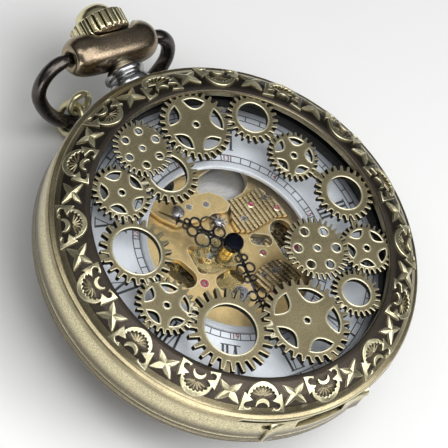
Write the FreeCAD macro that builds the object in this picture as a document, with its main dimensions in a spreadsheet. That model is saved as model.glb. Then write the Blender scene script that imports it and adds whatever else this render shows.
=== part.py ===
import FreeCAD, Part
import math
import operator
import os

import Sketcher

# Pocket watch, millimetres.  Z runs from the flat back to the dial, +Y points at the crown.

os.makedirs("parts", exist_ok=True)
doc = FreeCAD.newDocument("pocket_watch")
sheet = doc.addObject("Spreadsheet::Sheet", "sizes")

DRIVING = {
    # case
    "case_radius": 23.5, "back_height": 3.85, "band_height": 4.55, "lid_rise": 3.35, "lid_width": 4.6,
    "back_flat": 17.4, "back_glass_radius": 15.3, "back_glass_thick": 1.0, "wall": 2.8, "snap": 0.5, "bezel_seat": 0.2,
    "lid_wall": 0.65, "lid_gap": 0.1, "glass_inset": 3.2, "glass_thick": 0.65, "bezel_rise": 1.9,
    # hinge
    "hinge_inset": 1.3, "hinge_drop": 1.0, "knuckle_radius": 0.8, "knuckle_left": -3.5,
    "knuckle_right": 3.3, "lug_end": 7.1, "pin_radius": 0.5, "run_clear": 0.03, "side_clear": 0.05,
    "relief_half": 11.0,
    # pendant, crown and bow
    "neck_radius": 2.5, "neck_top_radius": 2.25, "neck_length": 3.3, "bulb_rise": 6.08,
    "bulb_radius": 2.75, "bulb_half": 6.25, "bulb_twist": 6.9, "crown_radius": 3.55,
    "crown_band": 1.95, "crown_cone": 0.7, "crown_gap": 0.25, "crown_teeth": 24.0, "bore_radius": 1.0,
    "bow_half": 9.96, "bow_below": 0.84, "bow_wire": 0.9, "bow_pin": 0.62, "bow_swing": 113.7,
    "link_major": 1.9, "link_wire": 0.45, "far_link": 1.35, "crown_sink": 1.85,
    # dial and hands
    "dial_drop": 0.9, "dial_thick": 0.4, "dial_hole": 10.6, "hour_reach": 9.75, "minute_reach": 13.6,
    # movement
    "plate_radius": 16.2, "plate_thick": 0.8, "plate_drop": 1.2, "bridge_thick": 0.9,
    "bridge_drop": 5.3, "stem_drop": 1.9, "stem_radius": 0.9, "arbor": 0.2, "jewel": 0.55,
    "winder_radius": 1.8, "clutch_radius": 1.2, "crown_pull": 0.9, "balance_radius": 4.4,
    "hour_module": 0.104, "going_module": 0.12, "third_module": 0.11, "fourth_module": 0.10,
    "barrel_module": 0.155, "wind_module": 0.2, "escape_radius": 2.52, "pallet_reach": 3.0,
    "balance_reach": 4.2, "impulse_radius": 0.9,
}
for row, (alias, value) in enumerate(DRIVING.items(), start=1):
    sheet.set("A%d" % row, alias)
    sheet.set("B%d" % row, repr(value))
    sheet.setAlias("B%d" % row, alias)
doc.recompute()


class Size:
    """A length that knows its number and the expression that gives it."""

    def __init__(self, value, text):
        self.value = float(value)
        self.text = text

    @staticmethod
    def of(other):
        if isinstance(other, Size):
            return other
        return Size(other, repr(round(float(other), 6)))

    def join(self, other, sign, work, swap=False):
        first, second = (Size.of(other), self) if swap else (self, Size.of(other))
        text = "(%s %s %s)" % (first.text, sign, second.text)
        return Size(work(first.value, second.value), text)

    def __add__(self, other):
        return self.join(other, "+", operator.add)

    def __radd__(self, other):
        return self.join(other, "+", operator.add, True)

    def __sub__(self, other):
        return self.join(other, "-", operator.sub)

    def __rsub__(self, other):
        return self.join(other, "-", operator.sub, True)

    def __mul__(self, other):
        return self.join(other, "*", operator.mul)

    def __rmul__(self, other):
        return self.join(other, "*", operator.mul, True)

    def __truediv__(self, other):
        return self.join(other, "/", operator.truediv)

    def __neg__(self):
        return 0 - self

    def __float__(self):
        return self.value


class Sheet:
    def __getattr__(self, alias):
        return Size(DRIVING[alias], "sizes." + alias)


s = Sheet()
nodes = {}


def bind(thing, prop, size):
    size = Size.of(size)
    thing.setExpression(prop, size.text)


def place(thing, at=(0, 0, 0), axis=(0, 0, 1), angle=0.0):
    """Put a feature at a point, turned about an axis, with the point bound to the sheet."""
    turn = FreeCAD.Rotation(FreeCAD.Vector(*axis), float(angle))
    thing.Placement = FreeCAD.Placement(FreeCAD.Vector(*[float(v) for v in at]), turn)
    for letter, value in zip("xyz", at):
        bind(thing, "Placement.Base." + letter, value)
    return thing


def node(label, thing):
    thing.Label = label
    nodes[label] = thing
    return thing


def rod(name, radius, length, at=(0, 0, 0), axis=(0, 0, 1), angle=0.0):
    thing = doc.addObject("Part::Cylinder", name)
    bind(thing, "Radius", radius)
    bind(thing, "Height", length)
    return place(thing, at, axis, angle)


ALONG_Y = ((1, 0, 0), -90.0)
ALONG_X = ((0, 1, 0), 90.0)


def rod_y(name, radius, length, at):
    return rod(name, radius, length, at, *ALONG_Y)


def rod_x(name, radius, length, at):
    return rod(name, radius, length, at, *ALONG_X)


def block(name, low, size, axis=(0, 0, 1), angle=0.0):
    thing = doc.addObject("Part::Box", name)
    for prop, value in zip(("Length", "Width", "Height"), size):
        bind(thing, prop, value)
    return place(thing, low, axis, angle)


def torus(name, major, minor, at=(0, 0, 0), axis=(0, 0, 1), angle=0.0):
    thing = doc.addObject("Part::Torus", name)
    bind(thing, "Radius1", major)
    bind(thing, "Radius2", minor)
    return place(thing, at, axis, angle)


def cut(name, base, *tools):
    thing = doc.addObject("Part::Cut", name)
    thing.Base = base
    thing.Tool = tools[0] if len(tools) == 1 else fuse(name + "_tools", *tools)
    return thing


def fuse(name, *shapes):
    thing = doc.addObject("Part::MultiFuse", name)
    thing.Shapes = list(shapes)
    return thing


def common(name, *shapes):
    thing = doc.addObject("Part::MultiCommon", name)
    thing.Shapes = list(shapes)
    return thing


def group(name, *shapes):
    thing = doc.addObject("Part::Compound", name)
    thing.Links = list(shapes)
    return thing


def closed_sketch(body, name, plane, points):
    """A closed outline whose corners are all bound to the sheet."""
    sketch = body.newObject("Sketcher::SketchObject", name)
    face = [f for f in body.Origin.OriginFeatures if f.Role == plane][0]
    sketch.AttachmentSupport = (face, [""])
    sketch.MapMode = "FlatFace"
    corners = [FreeCAD.Vector(float(u), float(v), 0) for u, v in points]
    count = len(corners)
    for i in range(count):
        sketch.addGeometry(Part.LineSegment(corners[i], corners[(i + 1) % count]), False)
    for i in range(count):
        sketch.addConstraint(Sketcher.Constraint("Coincident", i, 2, (i + 1) % count, 1))
    for i, (u, v) in enumerate(points):
        for kind, axis_id, value in (("DistanceX", -2, u), ("DistanceY", -1, v)):
            size = Size.of(value)
            if not isinstance(value, Size) and value == 0:
                sketch.addConstraint(Sketcher.Constraint("PointOnObject", i, 1, axis_id))
                continue
            index = sketch.addConstraint(Sketcher.Constraint(kind, -1, 1, i, 1, size.value))
            sketch.setExpression("Constraints[%d]" % index, size.text)
    return sketch


def turned(name, points, at=(0, 0, 0), axis=(0, 0, 1), angle=0.0):
    """A body turned about its own Z from an outline of (radius, height)."""
    body = doc.addObject("PartDesign::Body", name)
    sketch = closed_sketch(body, name + "_outline", "XZ_Plane", points)
    feature = body.newObject("PartDesign::Revolution", name + "_turn")
    feature.Profile = sketch
    feature.ReferenceAxis = (sketch, ["V_Axis"])
    feature.Angle = 360.0
    body.Tip = feature
    return place(body, at, axis, angle)


def padded(name, points, height, at=(0, 0, 0), axis=(0, 0, 1), angle=0.0):
    """A flat piece cut from sheet, from an outline in its own XY."""
    body = doc.addObject("PartDesign::Body", name)
    sketch = closed_sketch(body, name + "_outline", "XY_Plane", points)
    feature = body.newObject("PartDesign::Pad", name + "_pad")
    feature.Profile = sketch
    bind(feature, "Length", height)
    body.Tip = feature
    return place(body, at, axis, angle)


def gear(name, teeth, tip, root, height, at, phase=0.0, tip_share=0.2, root_share=0.55):
    """A toothed disc.  The shares are tooth widths at the tip and the root, over the pitch."""
    pitch = 360.0 / teeth
    corners = []
    for k in range(teeth):
        middle = phase + k * pitch
        for side, radius, share in ((-1, root, root_share), (-1, tip, tip_share),
                                    (1, tip, tip_share), (1, root, root_share)):
            angle = math.radians(middle + side * share * pitch / 2)
            corners.append(FreeCAD.Vector(float(radius) * math.cos(angle),
                                          float(radius) * math.sin(angle), 0))
    outline = doc.addObject("Part::Feature", name + "_outline")
    outline.Shape = Part.Face(Part.makePolygon(corners + corners[:1]))
    thing = doc.addObject("Part::Extrusion", name)
    thing.Base = outline
    thing.DirMode = "Custom"
    thing.Dir = FreeCAD.Vector(0, 0, 1)
    thing.Solid = True
    bind(thing, "LengthFwd", height)
    return place(thing, at)


ADDENDUM = 0.75
DEDENDUM = 1.15
PINION_SHARES = (0.16, 0.46)


def wheel(name, teeth, module, height, at, phase=0.0):
    """A working wheel or pinion with slim teeth, so that it runs with play."""
    half = float(module) / 2
    return gear(name, teeth, half * (teeth + 2 * ADDENDUM), half * (teeth - 2 * DEDENDUM),
                height, at, phase, *PINION_SHARES)


def in_mesh(phase, teeth, other, bearing):
    """The phase of the other wheel, on the given bearing, that meshes with this one."""
    return bearing + 180.0 - (phase - bearing) * teeth / other + 180.0 / other


def polar(radius, angle):
    return (radius * math.cos(math.radians(angle)), radius * math.sin(math.radians(angle)))


def step(start, radius, angle):
    """A point reached from another by a bound length on a fixed bearing."""
    return (start[0] + radius * math.cos(math.radians(angle)),
            start[1] + radius * math.sin(math.radians(angle)))


# ---------------------------------------------------------------- levels
band_top = s.back_height + s.band_height
dial_low = band_top - s.dial_drop
dial_top = dial_low + s.dial_thick
plate_top = dial_low - s.plate_drop
plate_low = plate_top - s.plate_thick
bridge_low = dial_low - s.bridge_drop
bridge_top = bridge_low + s.bridge_thick
stem_z = dial_low - s.stem_drop
lid_low = band_top + s.lid_gap
lid_top = band_top + s.lid_rise
hinge_z = band_top - s.hinge_drop
opening = s.case_radius - s.lid_width
hinge_y = s.hinge_inset - s.case_radius
bulb_y = s.case_radius + s.bulb_rise
glass_radius = s.case_radius - s.glass_inset
dial_radius = glass_radius + 0.2
bore_inner = s.case_radius - s.wall
spigot = s.bore_radius + 0.2

# ---------------------------------------------------------------- case
edge = s.case_radius - 0.04
node("back_cover", turned("back_cover", [
    (s.back_glass_radius, 0),
    (s.back_flat, 0),
    (edge - 4.26, 0.18),
    (edge - 2.56, 0.72),
    (edge - 1.16, s.back_height - 2.25),
    (edge - 0.36, s.back_height - 1.35),
    (edge, s.back_height - 0.55),
    (edge, s.back_height - 0.1),
    (edge - 0.1, s.back_height),
    (bore_inner - 0.05, s.back_height),
    (bore_inner - 0.05, s.back_height + s.snap),
    (bore_inner - 0.6, s.back_height + s.snap),
    (bore_inner - 0.6, s.back_height - 1.25),
    (bore_inner - 1.3, s.back_height - 1.95),
    (s.back_glass_radius + 0.4, s.back_glass_thick + 0.5),
    (s.back_glass_radius, s.back_glass_thick + 0.5),
]))
node("back_glass", rod("back_glass", s.back_glass_radius, s.back_glass_thick))

band = turned("band", [
    (bore_inner, s.back_height),
    (s.case_radius - 0.14, s.back_height),
    (s.case_radius - 0.04, s.back_height + 0.1),
    (s.case_radius - 0.03, s.back_height + 0.75),
    (s.case_radius - 0.16, s.back_height + 0.82),
    (s.case_radius - 0.16, s.back_height + 0.92),
    (s.case_radius - 0.03, s.back_height + 1.0),
    (s.case_radius, s.back_height + 2.3),
    (s.case_radius, s.back_height + 3.1),
    (s.case_radius - 0.12, band_top),
    (bore_inner + s.bezel_seat, band_top),
    (bore_inner + s.bezel_seat, band_top - 1.5),
    (bore_inner, band_top - 1.5),
])
lugs = []
for side, first, length in (("left", -s.lug_end, s.lug_end + s.knuckle_left - s.side_clear),
                            ("right", s.knuckle_right + s.side_clear,
                             s.lug_end - s.knuckle_right - s.side_clear)):
    lugs.append(rod_x("lug_" + side, s.knuckle_radius, length, (first, hinge_y, hinge_z)))
    lugs.append(block("lug_root_" + side, (first, hinge_y - s.knuckle_radius * 0.75, s.back_height),
                      (length, s.knuckle_radius * 2, s.band_height - s.hinge_drop + 0.2)))
stem_hole = rod_y("stem_hole_case", spigot, s.wall * 2 + 2, (0, bore_inner - 1, stem_z))
pin_hole = rod_x("pin_hole", s.pin_radius, s.lug_end * 2 + 2, (-s.lug_end - 1, hinge_y, hinge_z))
knuckle_room = block("knuckle_room",
                     (s.knuckle_left - s.side_clear, hinge_y - 3, hinge_z - s.knuckle_radius - 0.12),
                     (s.knuckle_right - s.knuckle_left + 2 * s.side_clear,
                      3 + s.knuckle_radius + 0.1, 4))
node("case_band", cut("case_band", fuse("band_and_lugs", band, *lugs),
                      stem_hole, pin_hole, knuckle_room))
node("hinge_pin", rod_x("hinge_pin", s.pin_radius, s.lug_end * 2 - 0.3,
                        (-s.lug_end + 0.15, hinge_y, hinge_z)))

bezel_top = band_top + s.bezel_rise
glass_low = bezel_top - 0.75
node("glass_bezel", turned("glass_bezel", [
    (opening + 0.1, dial_top),
    (dial_radius - 0.3, dial_top),
    (bore_inner + s.bezel_seat - 0.05, dial_top),
    (bore_inner + s.bezel_seat - 0.05, bezel_top - 0.7),
    (bore_inner - 0.1, bezel_top - 0.1),
    (glass_radius + 0.1, bezel_top),
    (glass_radius, bezel_top - 0.05),
    (glass_radius, glass_low),
    (opening + 0.1, glass_low),
]))
node("front_glass", turned("front_glass", [
    (0, glass_low + 0.05),
    (glass_radius, glass_low),
    (glass_radius, glass_low + s.glass_thick - 0.1),
    (glass_radius - 1.2, glass_low + s.glass_thick - 0.02),
    (glass_radius * 0.5, glass_low + s.glass_thick + 0.05),
    (0, glass_low + s.glass_thick + 0.1),
]))

# ---------------------------------------------------------------- lid
shell = turned("lid_shell", [
    (opening, lid_top - 1.15),
    (opening, lid_top - 0.2),
    (opening + 0.15, lid_top),
    (opening + 0.8, lid_top),
    (opening + 1.6, lid_top - 0.25),
    (opening + 2.4, lid_top - 0.6),
    (opening + 3.4, lid_top - 1.3),
    (opening + 3.9, lid_top - 1.8),
    (opening + 4.05, lid_top - 2.0),
    (opening + 4.0, lid_top - 2.1),
    (s.case_radius - 0.1, lid_top - 2.25),
    (s.case_radius + 0.1, lid_top - 2.7),
    (s.case_radius + 0.02, lid_low),
    (s.case_radius - 1.1, lid_low),
    (s.case_radius - 1.1, lid_top - 2.4),
    (s.case_radius - 1.6, lid_top - 1.75),
    (s.case_radius - 2.4, lid_top - 1.13),
    (opening + s.lid_wall, lid_top - 0.95),
    (opening + s.lid_wall, lid_top - 1.15),
])
relief = block("hinge_relief", (-s.relief_half, hinge_y - 2, lid_low - 1),
               (s.relief_half * 2, 4.4, lid_top - lid_low - 1.55))
knuckle = rod_x("knuckle", s.knuckle_radius, s.knuckle_right - s.knuckle_left,
                (s.knuckle_left, hinge_y, hinge_z))
arm = block("knuckle_arm", (s.knuckle_left, hinge_y + 0.1, hinge_z),
            (s.knuckle_right - s.knuckle_left, s.knuckle_radius - 0.1, lid_top - 1.5 - hinge_z))
knuckle_bore = rod_x("knuckle_bore", s.pin_radius + s.run_clear, s.lug_end * 2,
                     (-s.lug_end, hinge_y, hinge_z))
node("lid_rim", cut("lid_rim", fuse("lid_and_knuckle", cut("relieved_shell", shell, relief),
                                    knuckle, arm), knuckle_bore))

# Wheels cast into the lid: place, tip, root, teeth and how each is pierced.
STAR, RING, DISC = "star", "ring", "disc"
LID_GEARS = (
    (1.93, 14.77, 4.6, 3.95, 30, STAR, -77.0),
    (9.4, 13.27, 3.25, 2.65, 22, RING, 2.03),
    (11.9, 7.0, 3.25, 2.75, 26, STAR, -91.6),
    (15.6, 0.4, 3.7, 3.05, 24, RING, 2.25),
    (14.5, -7.07, 3.4, 2.85, 28, STAR, 26.0),
    (10.17, -11.83, 3.1, 2.5, 24, RING, 1.83),
    (2.23, -12.9, 5.5, 4.75, 28, STAR, 53.0),
    (-7.6, -10.67, 5.5, 4.25, 24, RING, 3.37),
    (-13.67, -5.17, 3.8, 3.2, 26, STAR, 54.0),
    (-13.73, 2.33, 4.5, 3.65, 22, RING, 3.1),
    (-11.67, 9.77, 3.75, 3.15, 26, STAR, 87.0),
    (-4.77, 10.17, 3.9, 3.15, 24, RING, 2.5),
)
UPPER_GEARS = (
    (8.1, -5.07, 4.15, 3.45, 34, 41.0, 2.5, 0.6, 0.45),
    (-6.5, 14.0, 3.75, 3.1, 30, 14.0, 2.25, 0.5, 0.4),
)
SPREAD = opening / 18.9
work_low = lid_top - 1.25
work_mid = lid_top - 0.35
work_top = lid_top + 0.1
cast = []
piercings = []
for i, (x, y, tip, root, teeth, kind, detail) in enumerate(LID_GEARS):
    at = (SPREAD * x, SPREAD * y, work_low)
    cast.append(gear("lid_gear_%d" % i, teeth, SPREAD * tip, SPREAD * root,
                     work_mid - work_low, at, 7.0 * i))
    if kind == RING:
        piercings.append(rod("lid_hole_%d" % i, SPREAD * detail, 3, (at[0], at[1], work_low - 1)))
        continue
    piercings.append(rod("lid_eye_%d" % i, SPREAD * 0.45, 3, (at[0], at[1], work_low - 1)))
    lens = float(SPREAD) * root
    for k in range(5):
        bearing = detail + 72.0 * k
        ends = [FreeCAD.Vector(*polar(lens * 0.87, bearing + turn), 0) for turn in (-25.0, 25.0)]
        outer = FreeCAD.Vector(*polar(lens * 0.9, bearing), 0)
        inner = FreeCAD.Vector(*polar(lens * 0.53, bearing), 0)
        rim = Part.Wire([Part.Arc(ends[0], outer, ends[1]).toShape(),
                         Part.Arc(ends[1], inner, ends[0]).toShape()])
        window = doc.addObject("Part::Feature", "lid_window_outline_%d_%d" % (i, k))
        window.Shape = Part.Face(rim)
        pierce = doc.addObject("Part::Extrusion", "lid_window_%d_%d" % (i, k))
        pierce.Base = window
        pierce.DirMode = "Custom"
        pierce.Dir = FreeCAD.Vector(0, 0, 1)
        pierce.Solid = True
        bind(pierce, "LengthFwd", 3)
        piercings.append(place(pierce, (at[0], at[1], work_low - 1)))
for i, (x, y, tip, *rest) in enumerate(LID_GEARS):
    next_x, next_y, next_tip = LID_GEARS[(i + 1) % len(LID_GEARS)][:3]
    share = tip / (tip + next_tip)
    cast.append(rod("gear_joint_%d" % i, SPREAD * 0.5, work_mid - work_low,
                    (SPREAD * (x + (next_x - x) * share), SPREAD * (y + (next_y - y) * share),
                     work_low)))
    off = math.hypot(x, y)
    if off + tip > 18.3:
        cast.append(rod("rim_joint_%d" % i, SPREAD * 0.5, work_mid - work_low,
                        (opening * (x / off) - 0.4 * x / off, opening * (y / off) - 0.4 * y / off,
                         work_low)))
rim_limit = rod("lid_work_limit", opening, 4, (0, 0, work_low - 1))
lower = cut("lid_lower_work", fuse("lid_lower_gears", *cast), *piercings)
node("lid_gearwork", common("lid_gearwork", lower, rim_limit))
plates = []
for i, (x, y, tip, root, teeth, first, ring, hole, eye) in enumerate(UPPER_GEARS):
    at = (SPREAD * x, SPREAD * y, work_mid)
    top_plate = gear("lid_plate_%d" % i, teeth, SPREAD * tip, SPREAD * root, work_top - work_mid, at)
    holes = [rod("plate_eye_%d" % i, SPREAD * eye, 3, (at[0], at[1], work_mid - 1))]
    for k in range(6):
        off = polar(ring, first + 60.0 * k)
        holes.append(rod("plate_hole_%d_%d" % (i, k), SPREAD * hole, 3,
                         (SPREAD * (x + off[0]), SPREAD * (y + off[1]), work_mid - 1)))
    plates.append(cut("pierced_plate_%d" % i, top_plate, *holes))
    node(("lid_plate_low", "lid_plate_high")[i],
         common("held_plate_%d" % i, plates[-1], rod("plate_limit_%d" % i, opening, 4,
                                                    (0, 0, work_mid - 1))))

# ---------------------------------------------------------------- pendant, crown, bow
bulb = turned("bulb_blank", [
    (0, -s.bulb_half),
    (s.bulb_radius * 0.5, -s.bulb_half),
    (s.bulb_radius * 0.72, -s.bulb_half * 0.95),
    (s.bulb_radius * 0.88, -s.bulb_half * 0.83),
    (s.bulb_radius * 0.97, -s.bulb_half * 0.6),
    (s.bulb_radius, -s.bulb_half * 0.3),
    (s.bulb_radius, s.bulb_half * 0.3),
    (s.bulb_radius * 0.97, s.bulb_half * 0.6),
    (s.bulb_radius * 0.88, s.bulb_half * 0.83),
    (s.bulb_radius * 0.72, s.bulb_half * 0.95),
    (s.bulb_radius * 0.5, s.bulb_half),
    (0, s.bulb_half),
], (0, bulb_y, stem_z), (0, 1, 0), 90.0 + DRIVING["bulb_twist"])
crown_seat = bulb_y + s.bulb_radius - s.crown_sink
neck_start = s.case_radius + 0.05
neck_end = neck_start + s.neck_length
neck = turned("neck_blank", [
    (s.bore_radius, -s.wall),
    (spigot, -s.wall),
    (spigot, 0),
    (s.neck_radius + 0.1, 0),
    (s.neck_radius + 0.15, 0.5),
    (s.neck_radius, 1.2),
    (s.neck_top_radius - 0.2, 1.5),
    (s.neck_top_radius + 0.1, 1.9),
    (s.neck_top_radius + 0.15, 2.4),
    (s.neck_top_radius - 0.15, 2.8),
    (s.neck_top_radius - 0.35, s.neck_length),
    (s.neck_top_radius - 0.1, s.neck_length + 1.2),
    (s.bore_radius, s.neck_length + 1.2),
], (0, neck_start, stem_z), *ALONG_Y)
node("pendant_neck", cut("pendant_neck", neck, bulb))
bore = rod_y("pendant_bore", s.bore_radius, s.bulb_radius * 3, (0, bulb_y - s.bulb_radius * 1.5, stem_z))
recess = rod_y("crown_recess", s.crown_radius + s.crown_gap, s.bulb_radius * 2, (0, crown_seat, stem_z))
twist = math.radians(DRIVING["bulb_twist"])
ends = []
for side, sign in (("left", -1), ("right", 1)):
    for kind, radius, depth in (("pin", s.bow_pin + 0.04, 1.6), ("mouth", s.bow_wire + 0.12, 0.35)):
        reach = s.bulb_half - depth if sign > 0 else -(s.bulb_half + 1)
        ends.append(rod("bow_%s_%s" % (kind, side), radius, depth + 1,
                        (reach * math.cos(twist), bulb_y, stem_z - reach * math.sin(twist)),
                        (0, 1, 0), 90.0 + DRIVING["bulb_twist"]))
node("pendant", cut("pendant", bulb, bore, recess, *ends))

crown_low = crown_seat + 0.15
flutes = int(DRIVING["crown_teeth"])
crown_blank = turned("crown_blank", [
    (0, 0),
    (s.crown_radius - 0.9, 0),
    (s.crown_radius, s.crown_cone),
    (s.crown_radius, s.crown_cone + s.crown_band),
    (s.crown_radius - 0.4, s.crown_cone + s.crown_band + 0.25),
    (s.crown_radius * 0.68, s.crown_cone + s.crown_band + 0.35),
    (s.crown_radius * 0.66, s.crown_cone + s.crown_band + 0.9),
    (s.crown_radius * 0.56, s.crown_cone + s.crown_band + 1.5),
    (s.crown_radius * 0.36, s.crown_cone + s.crown_band + 2.0),
    (s.crown_radius * 0.16, s.crown_cone + s.crown_band + 2.25),
    (0, s.crown_cone + s.crown_band + 2.3),
])
grooves = []
for k in range(flutes):
    x, y = polar(1.0, 360.0 / flutes * k)
    grooves.append(rod("flute_%d" % k, 0.17, s.crown_band + 0.8,
                       ((s.crown_radius + 0.03) * x, (s.crown_radius + 0.03) * y, s.crown_cone - 0.25)))
crown = cut("crown", crown_blank, *grooves)
node("crown", place(crown, (0, crown_low, stem_z), *ALONG_Y))
stem_end = 11.0
node("winding_stem", turned("winding_stem", [
    (0, 0),
    (0.4, 0),
    (0.4, 0.95),
    (0.6, 0.95),
    (0.6, 3.9),
    (s.stem_radius, 3.9),
    (s.stem_radius, 4.9),
    (0.5, 4.9),
    (0.5, 5.5),
    (s.stem_radius, 5.5),
    (s.stem_radius, crown_low - stem_end),
    (0, crown_low - stem_end),
], (0, stem_end, stem_z), *ALONG_Y))

# The bow: two round shoulders and a wide foot, all tangent, in its own XY.
foot_y = float(s.bow_half + s.bow_below)
shoulder_x = float(s.bulb_half) + 0.2
shoulder = float(s.bow_half) - shoulder_x
rise = foot_y - shoulder
foot = (shoulder_x ** 2 + rise ** 2 - shoulder ** 2) / (2 * (rise - shoulder))
lean = math.degrees(math.atan2(shoulder_x, foot - rise))
foot_middle = foot_y - foot


def arc_points(cx, cy, radius, first, last):
    return [FreeCAD.Vector(cx + radius * math.sin(math.radians(a)),
                           cy + radius * math.cos(math.radians(a)), 0)
            for a in (first, (first + last) / 2, last)]


runs = [Part.Arc(*arc_points(-shoulder_x, shoulder, shoulder, -180.0, -lean)).toShape(),
        Part.Arc(*arc_points(0, foot_middle, foot, -lean, lean)).toShape(),
        Part.Arc(*arc_points(shoulder_x, shoulder, shoulder, lean, 180.0)).toShape()]
spine = doc.addObject("Part::Feature", "bow_path")
spine.Shape = Part.Wire(runs)
ring = doc.addObject("Part::Circle", "bow_section")
bind(ring, "Radius", s.bow_wire)
place(ring, (-shoulder_x, 0, 0), (0, 1, 0), 90.0)
sweep = doc.addObject("Part::Sweep", "bow_wire")
sweep.Sections = [ring]
sweep.Spine = (spine, ["Edge1", "Edge2", "Edge3"])
sweep.Solid = True
sweep.Frenet = False
bow = fuse("bow", sweep, *[rod("bow_tip_" + side, s.bow_pin, 1.7, (first, 0, 0), *ALONG_X)
                           for side, first in (("left", -shoulder_x - 0.1),
                                               ("right", shoulder_x - 1.6))])
axis_x = FreeCAD.Vector(math.cos(twist), 0, -math.sin(twist))
swing = math.radians(DRIVING["bow_swing"])
hang = FreeCAD.Vector(0, math.cos(swing), -math.sin(swing))
hang = (hang - axis_x * hang.dot(axis_x)).normalize()
facing = axis_x.cross(hang)
bow_turn = FreeCAD.Rotation(axis_x, hang, facing, "ZXY")
place(bow, (0, bulb_y, stem_z), bow_turn.Axis, math.degrees(bow_turn.Angle))
node("bow", bow)


def on_bow(x, y):
    return FreeCAD.Vector(0, float(bulb_y), float(stem_z)) + axis_x * x + hang * y


# Two links of the chain, the first round the foot of the bow.
LINK_BEARING = -20.0
hook = on_bow(foot * math.sin(math.radians(LINK_BEARING)),
              foot_middle + foot * math.cos(math.radians(LINK_BEARING)))
inward = (on_bow(0, 0) - hook).normalize()
along = (axis_x * math.cos(math.radians(LINK_BEARING))
         - hang * math.sin(math.radians(LINK_BEARING))).normalize()
cross = along.cross(inward).normalize()
LINK_PLAY = 0.08
reach = float(s.link_major) - float(s.bow_wire) - float(s.link_wire) - LINK_PLAY
first_middle = hook + inward * (-reach if reach < 0 else reach)
print("bow hook", [round(v, 3) for v in hook], "link middle", [round(v, 3) for v in first_middle])
link_turn = FreeCAD.Rotation(FreeCAD.Vector(0, 0, 1), along)
node("chain_link_a", torus("chain_link_a", s.link_major, s.link_wire, tuple(first_middle),
                           link_turn.Axis, math.degrees(link_turn.Angle)))
far = first_middle + inward * float(s.link_major)
second_middle = far + inward * (float(s.far_link) - 2 * float(s.link_wire) - LINK_PLAY)
second_turn = FreeCAD.Rotation(FreeCAD.Vector(0, 0, 1), cross)
node("chain_link_b", torus("chain_link_b", s.far_link, s.link_wire, tuple(second_middle),
                           second_turn.Axis, math.degrees(second_turn.Angle)))
print("link joints", [round(v, 3) for v in far], "along", [round(v, 4) for v in along],
      "across", [round(v, 4) for v in cross], "axis", [round(v, 5) for v in axis_x])

# ---------------------------------------------------------------- dial and movement ring
node("dial", turned("dial", [
    (s.dial_hole, dial_low),
    (dial_radius, dial_low),
    (dial_radius, dial_top),
    (s.dial_hole + 0.95, dial_top),
    (s.dial_hole + 0.8, dial_top + 0.2),
    (s.dial_hole + 0.15, dial_top + 0.2),
    (s.dial_hole, dial_top),
]))
ring_blank = turned("movement_ring_blank", [
    (s.plate_radius + 0.05, bridge_low + 0.5),
    (bore_inner - 0.7, bridge_low + 0.5),
    (bore_inner - 0.7, band_top - 2.2),
    (bore_inner - 0.05, band_top - 2.2),
    (bore_inner - 0.05, band_top - 1.5),
    (bore_inner + s.bezel_seat - 0.05, band_top - 1.5),
    (bore_inner + s.bezel_seat - 0.05, dial_low),
    (s.plate_radius + 0.05, dial_low),
])
ring_hole = rod_y("movement_ring_hole", spigot, s.case_radius, (0, stem_end, stem_z))
node("movement_ring", cut("movement_ring", ring_blank, ring_hole))

# ---------------------------------------------------------------- wheel places and levels
LEAVES = 10
BARREL_TEETH, CENTRE_TEETH, THIRD_TEETH, FOURTH_TEETH, ESCAPE_LEAVES = 80, 80, 75, 80, 8
CROWN_TEETH, RATCHET_TEETH, WINDER_TEETH = 28, 40, 14
CANNON_TEETH, MINUTE_TEETH, MINUTE_LEAVES, HOUR_TEETH = 12, 36, 10, 40
ESCAPE_TEETH = 15
BARREL_BEARING, THIRD_BEARING, FOURTH_BEARING = 55.0, 210.0, -40.0
ESCAPE_BEARING, PALLET_BEARING, BALANCE_BEARING, MINUTE_BEARING = -10.0, 20.0, 50.0, 180.0

centre = (Size(0, "0"), Size(0, "0"))
barrel_at = step(centre, s.barrel_module * (BARREL_TEETH + LEAVES) / 2, BARREL_BEARING)
third_at = step(centre, s.going_module * (CENTRE_TEETH + LEAVES) / 2, THIRD_BEARING)
fourth_at = step(third_at, s.third_module * (THIRD_TEETH + LEAVES) / 2, FOURTH_BEARING)
escape_at = step(fourth_at, s.fourth_module * (FOURTH_TEETH + ESCAPE_LEAVES) / 2, ESCAPE_BEARING)
pallet_at = step(escape_at, s.pallet_reach, PALLET_BEARING)
balance_at = step(pallet_at, s.balance_reach, BALANCE_BEARING)
minute_at = step(centre, s.hour_module * (MINUTE_LEAVES + HOUR_TEETH) / 2, MINUTE_BEARING)
crown_reach = s.wind_module * (CROWN_TEETH + RATCHET_TEETH) / 2
crown_y = barrel_at[1] + 5.4833
crown_lean = math.degrees(math.atan2(float(crown_y - barrel_at[1]), -float(barrel_at[0])))
crown_at = step(barrel_at, crown_reach, crown_lean)
print("crown wheel at", float(crown_at[0]), float(crown_at[1]))

ratchet_low = bridge_top + 0.15
barrel_low = ratchet_low + 0.6
centre_low = plate_low - 0.35
balance_low = bridge_top + 0.05


def over(at, z):
    return (at[0], at[1], z)


def arbor(name, at, low, high, radius=None):
    return rod(name, radius or s.arbor, high - low, over(at, low))


PIVOT_LOW = bridge_low + 0.1
PIVOT_HIGH = plate_top - 0.1

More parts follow.
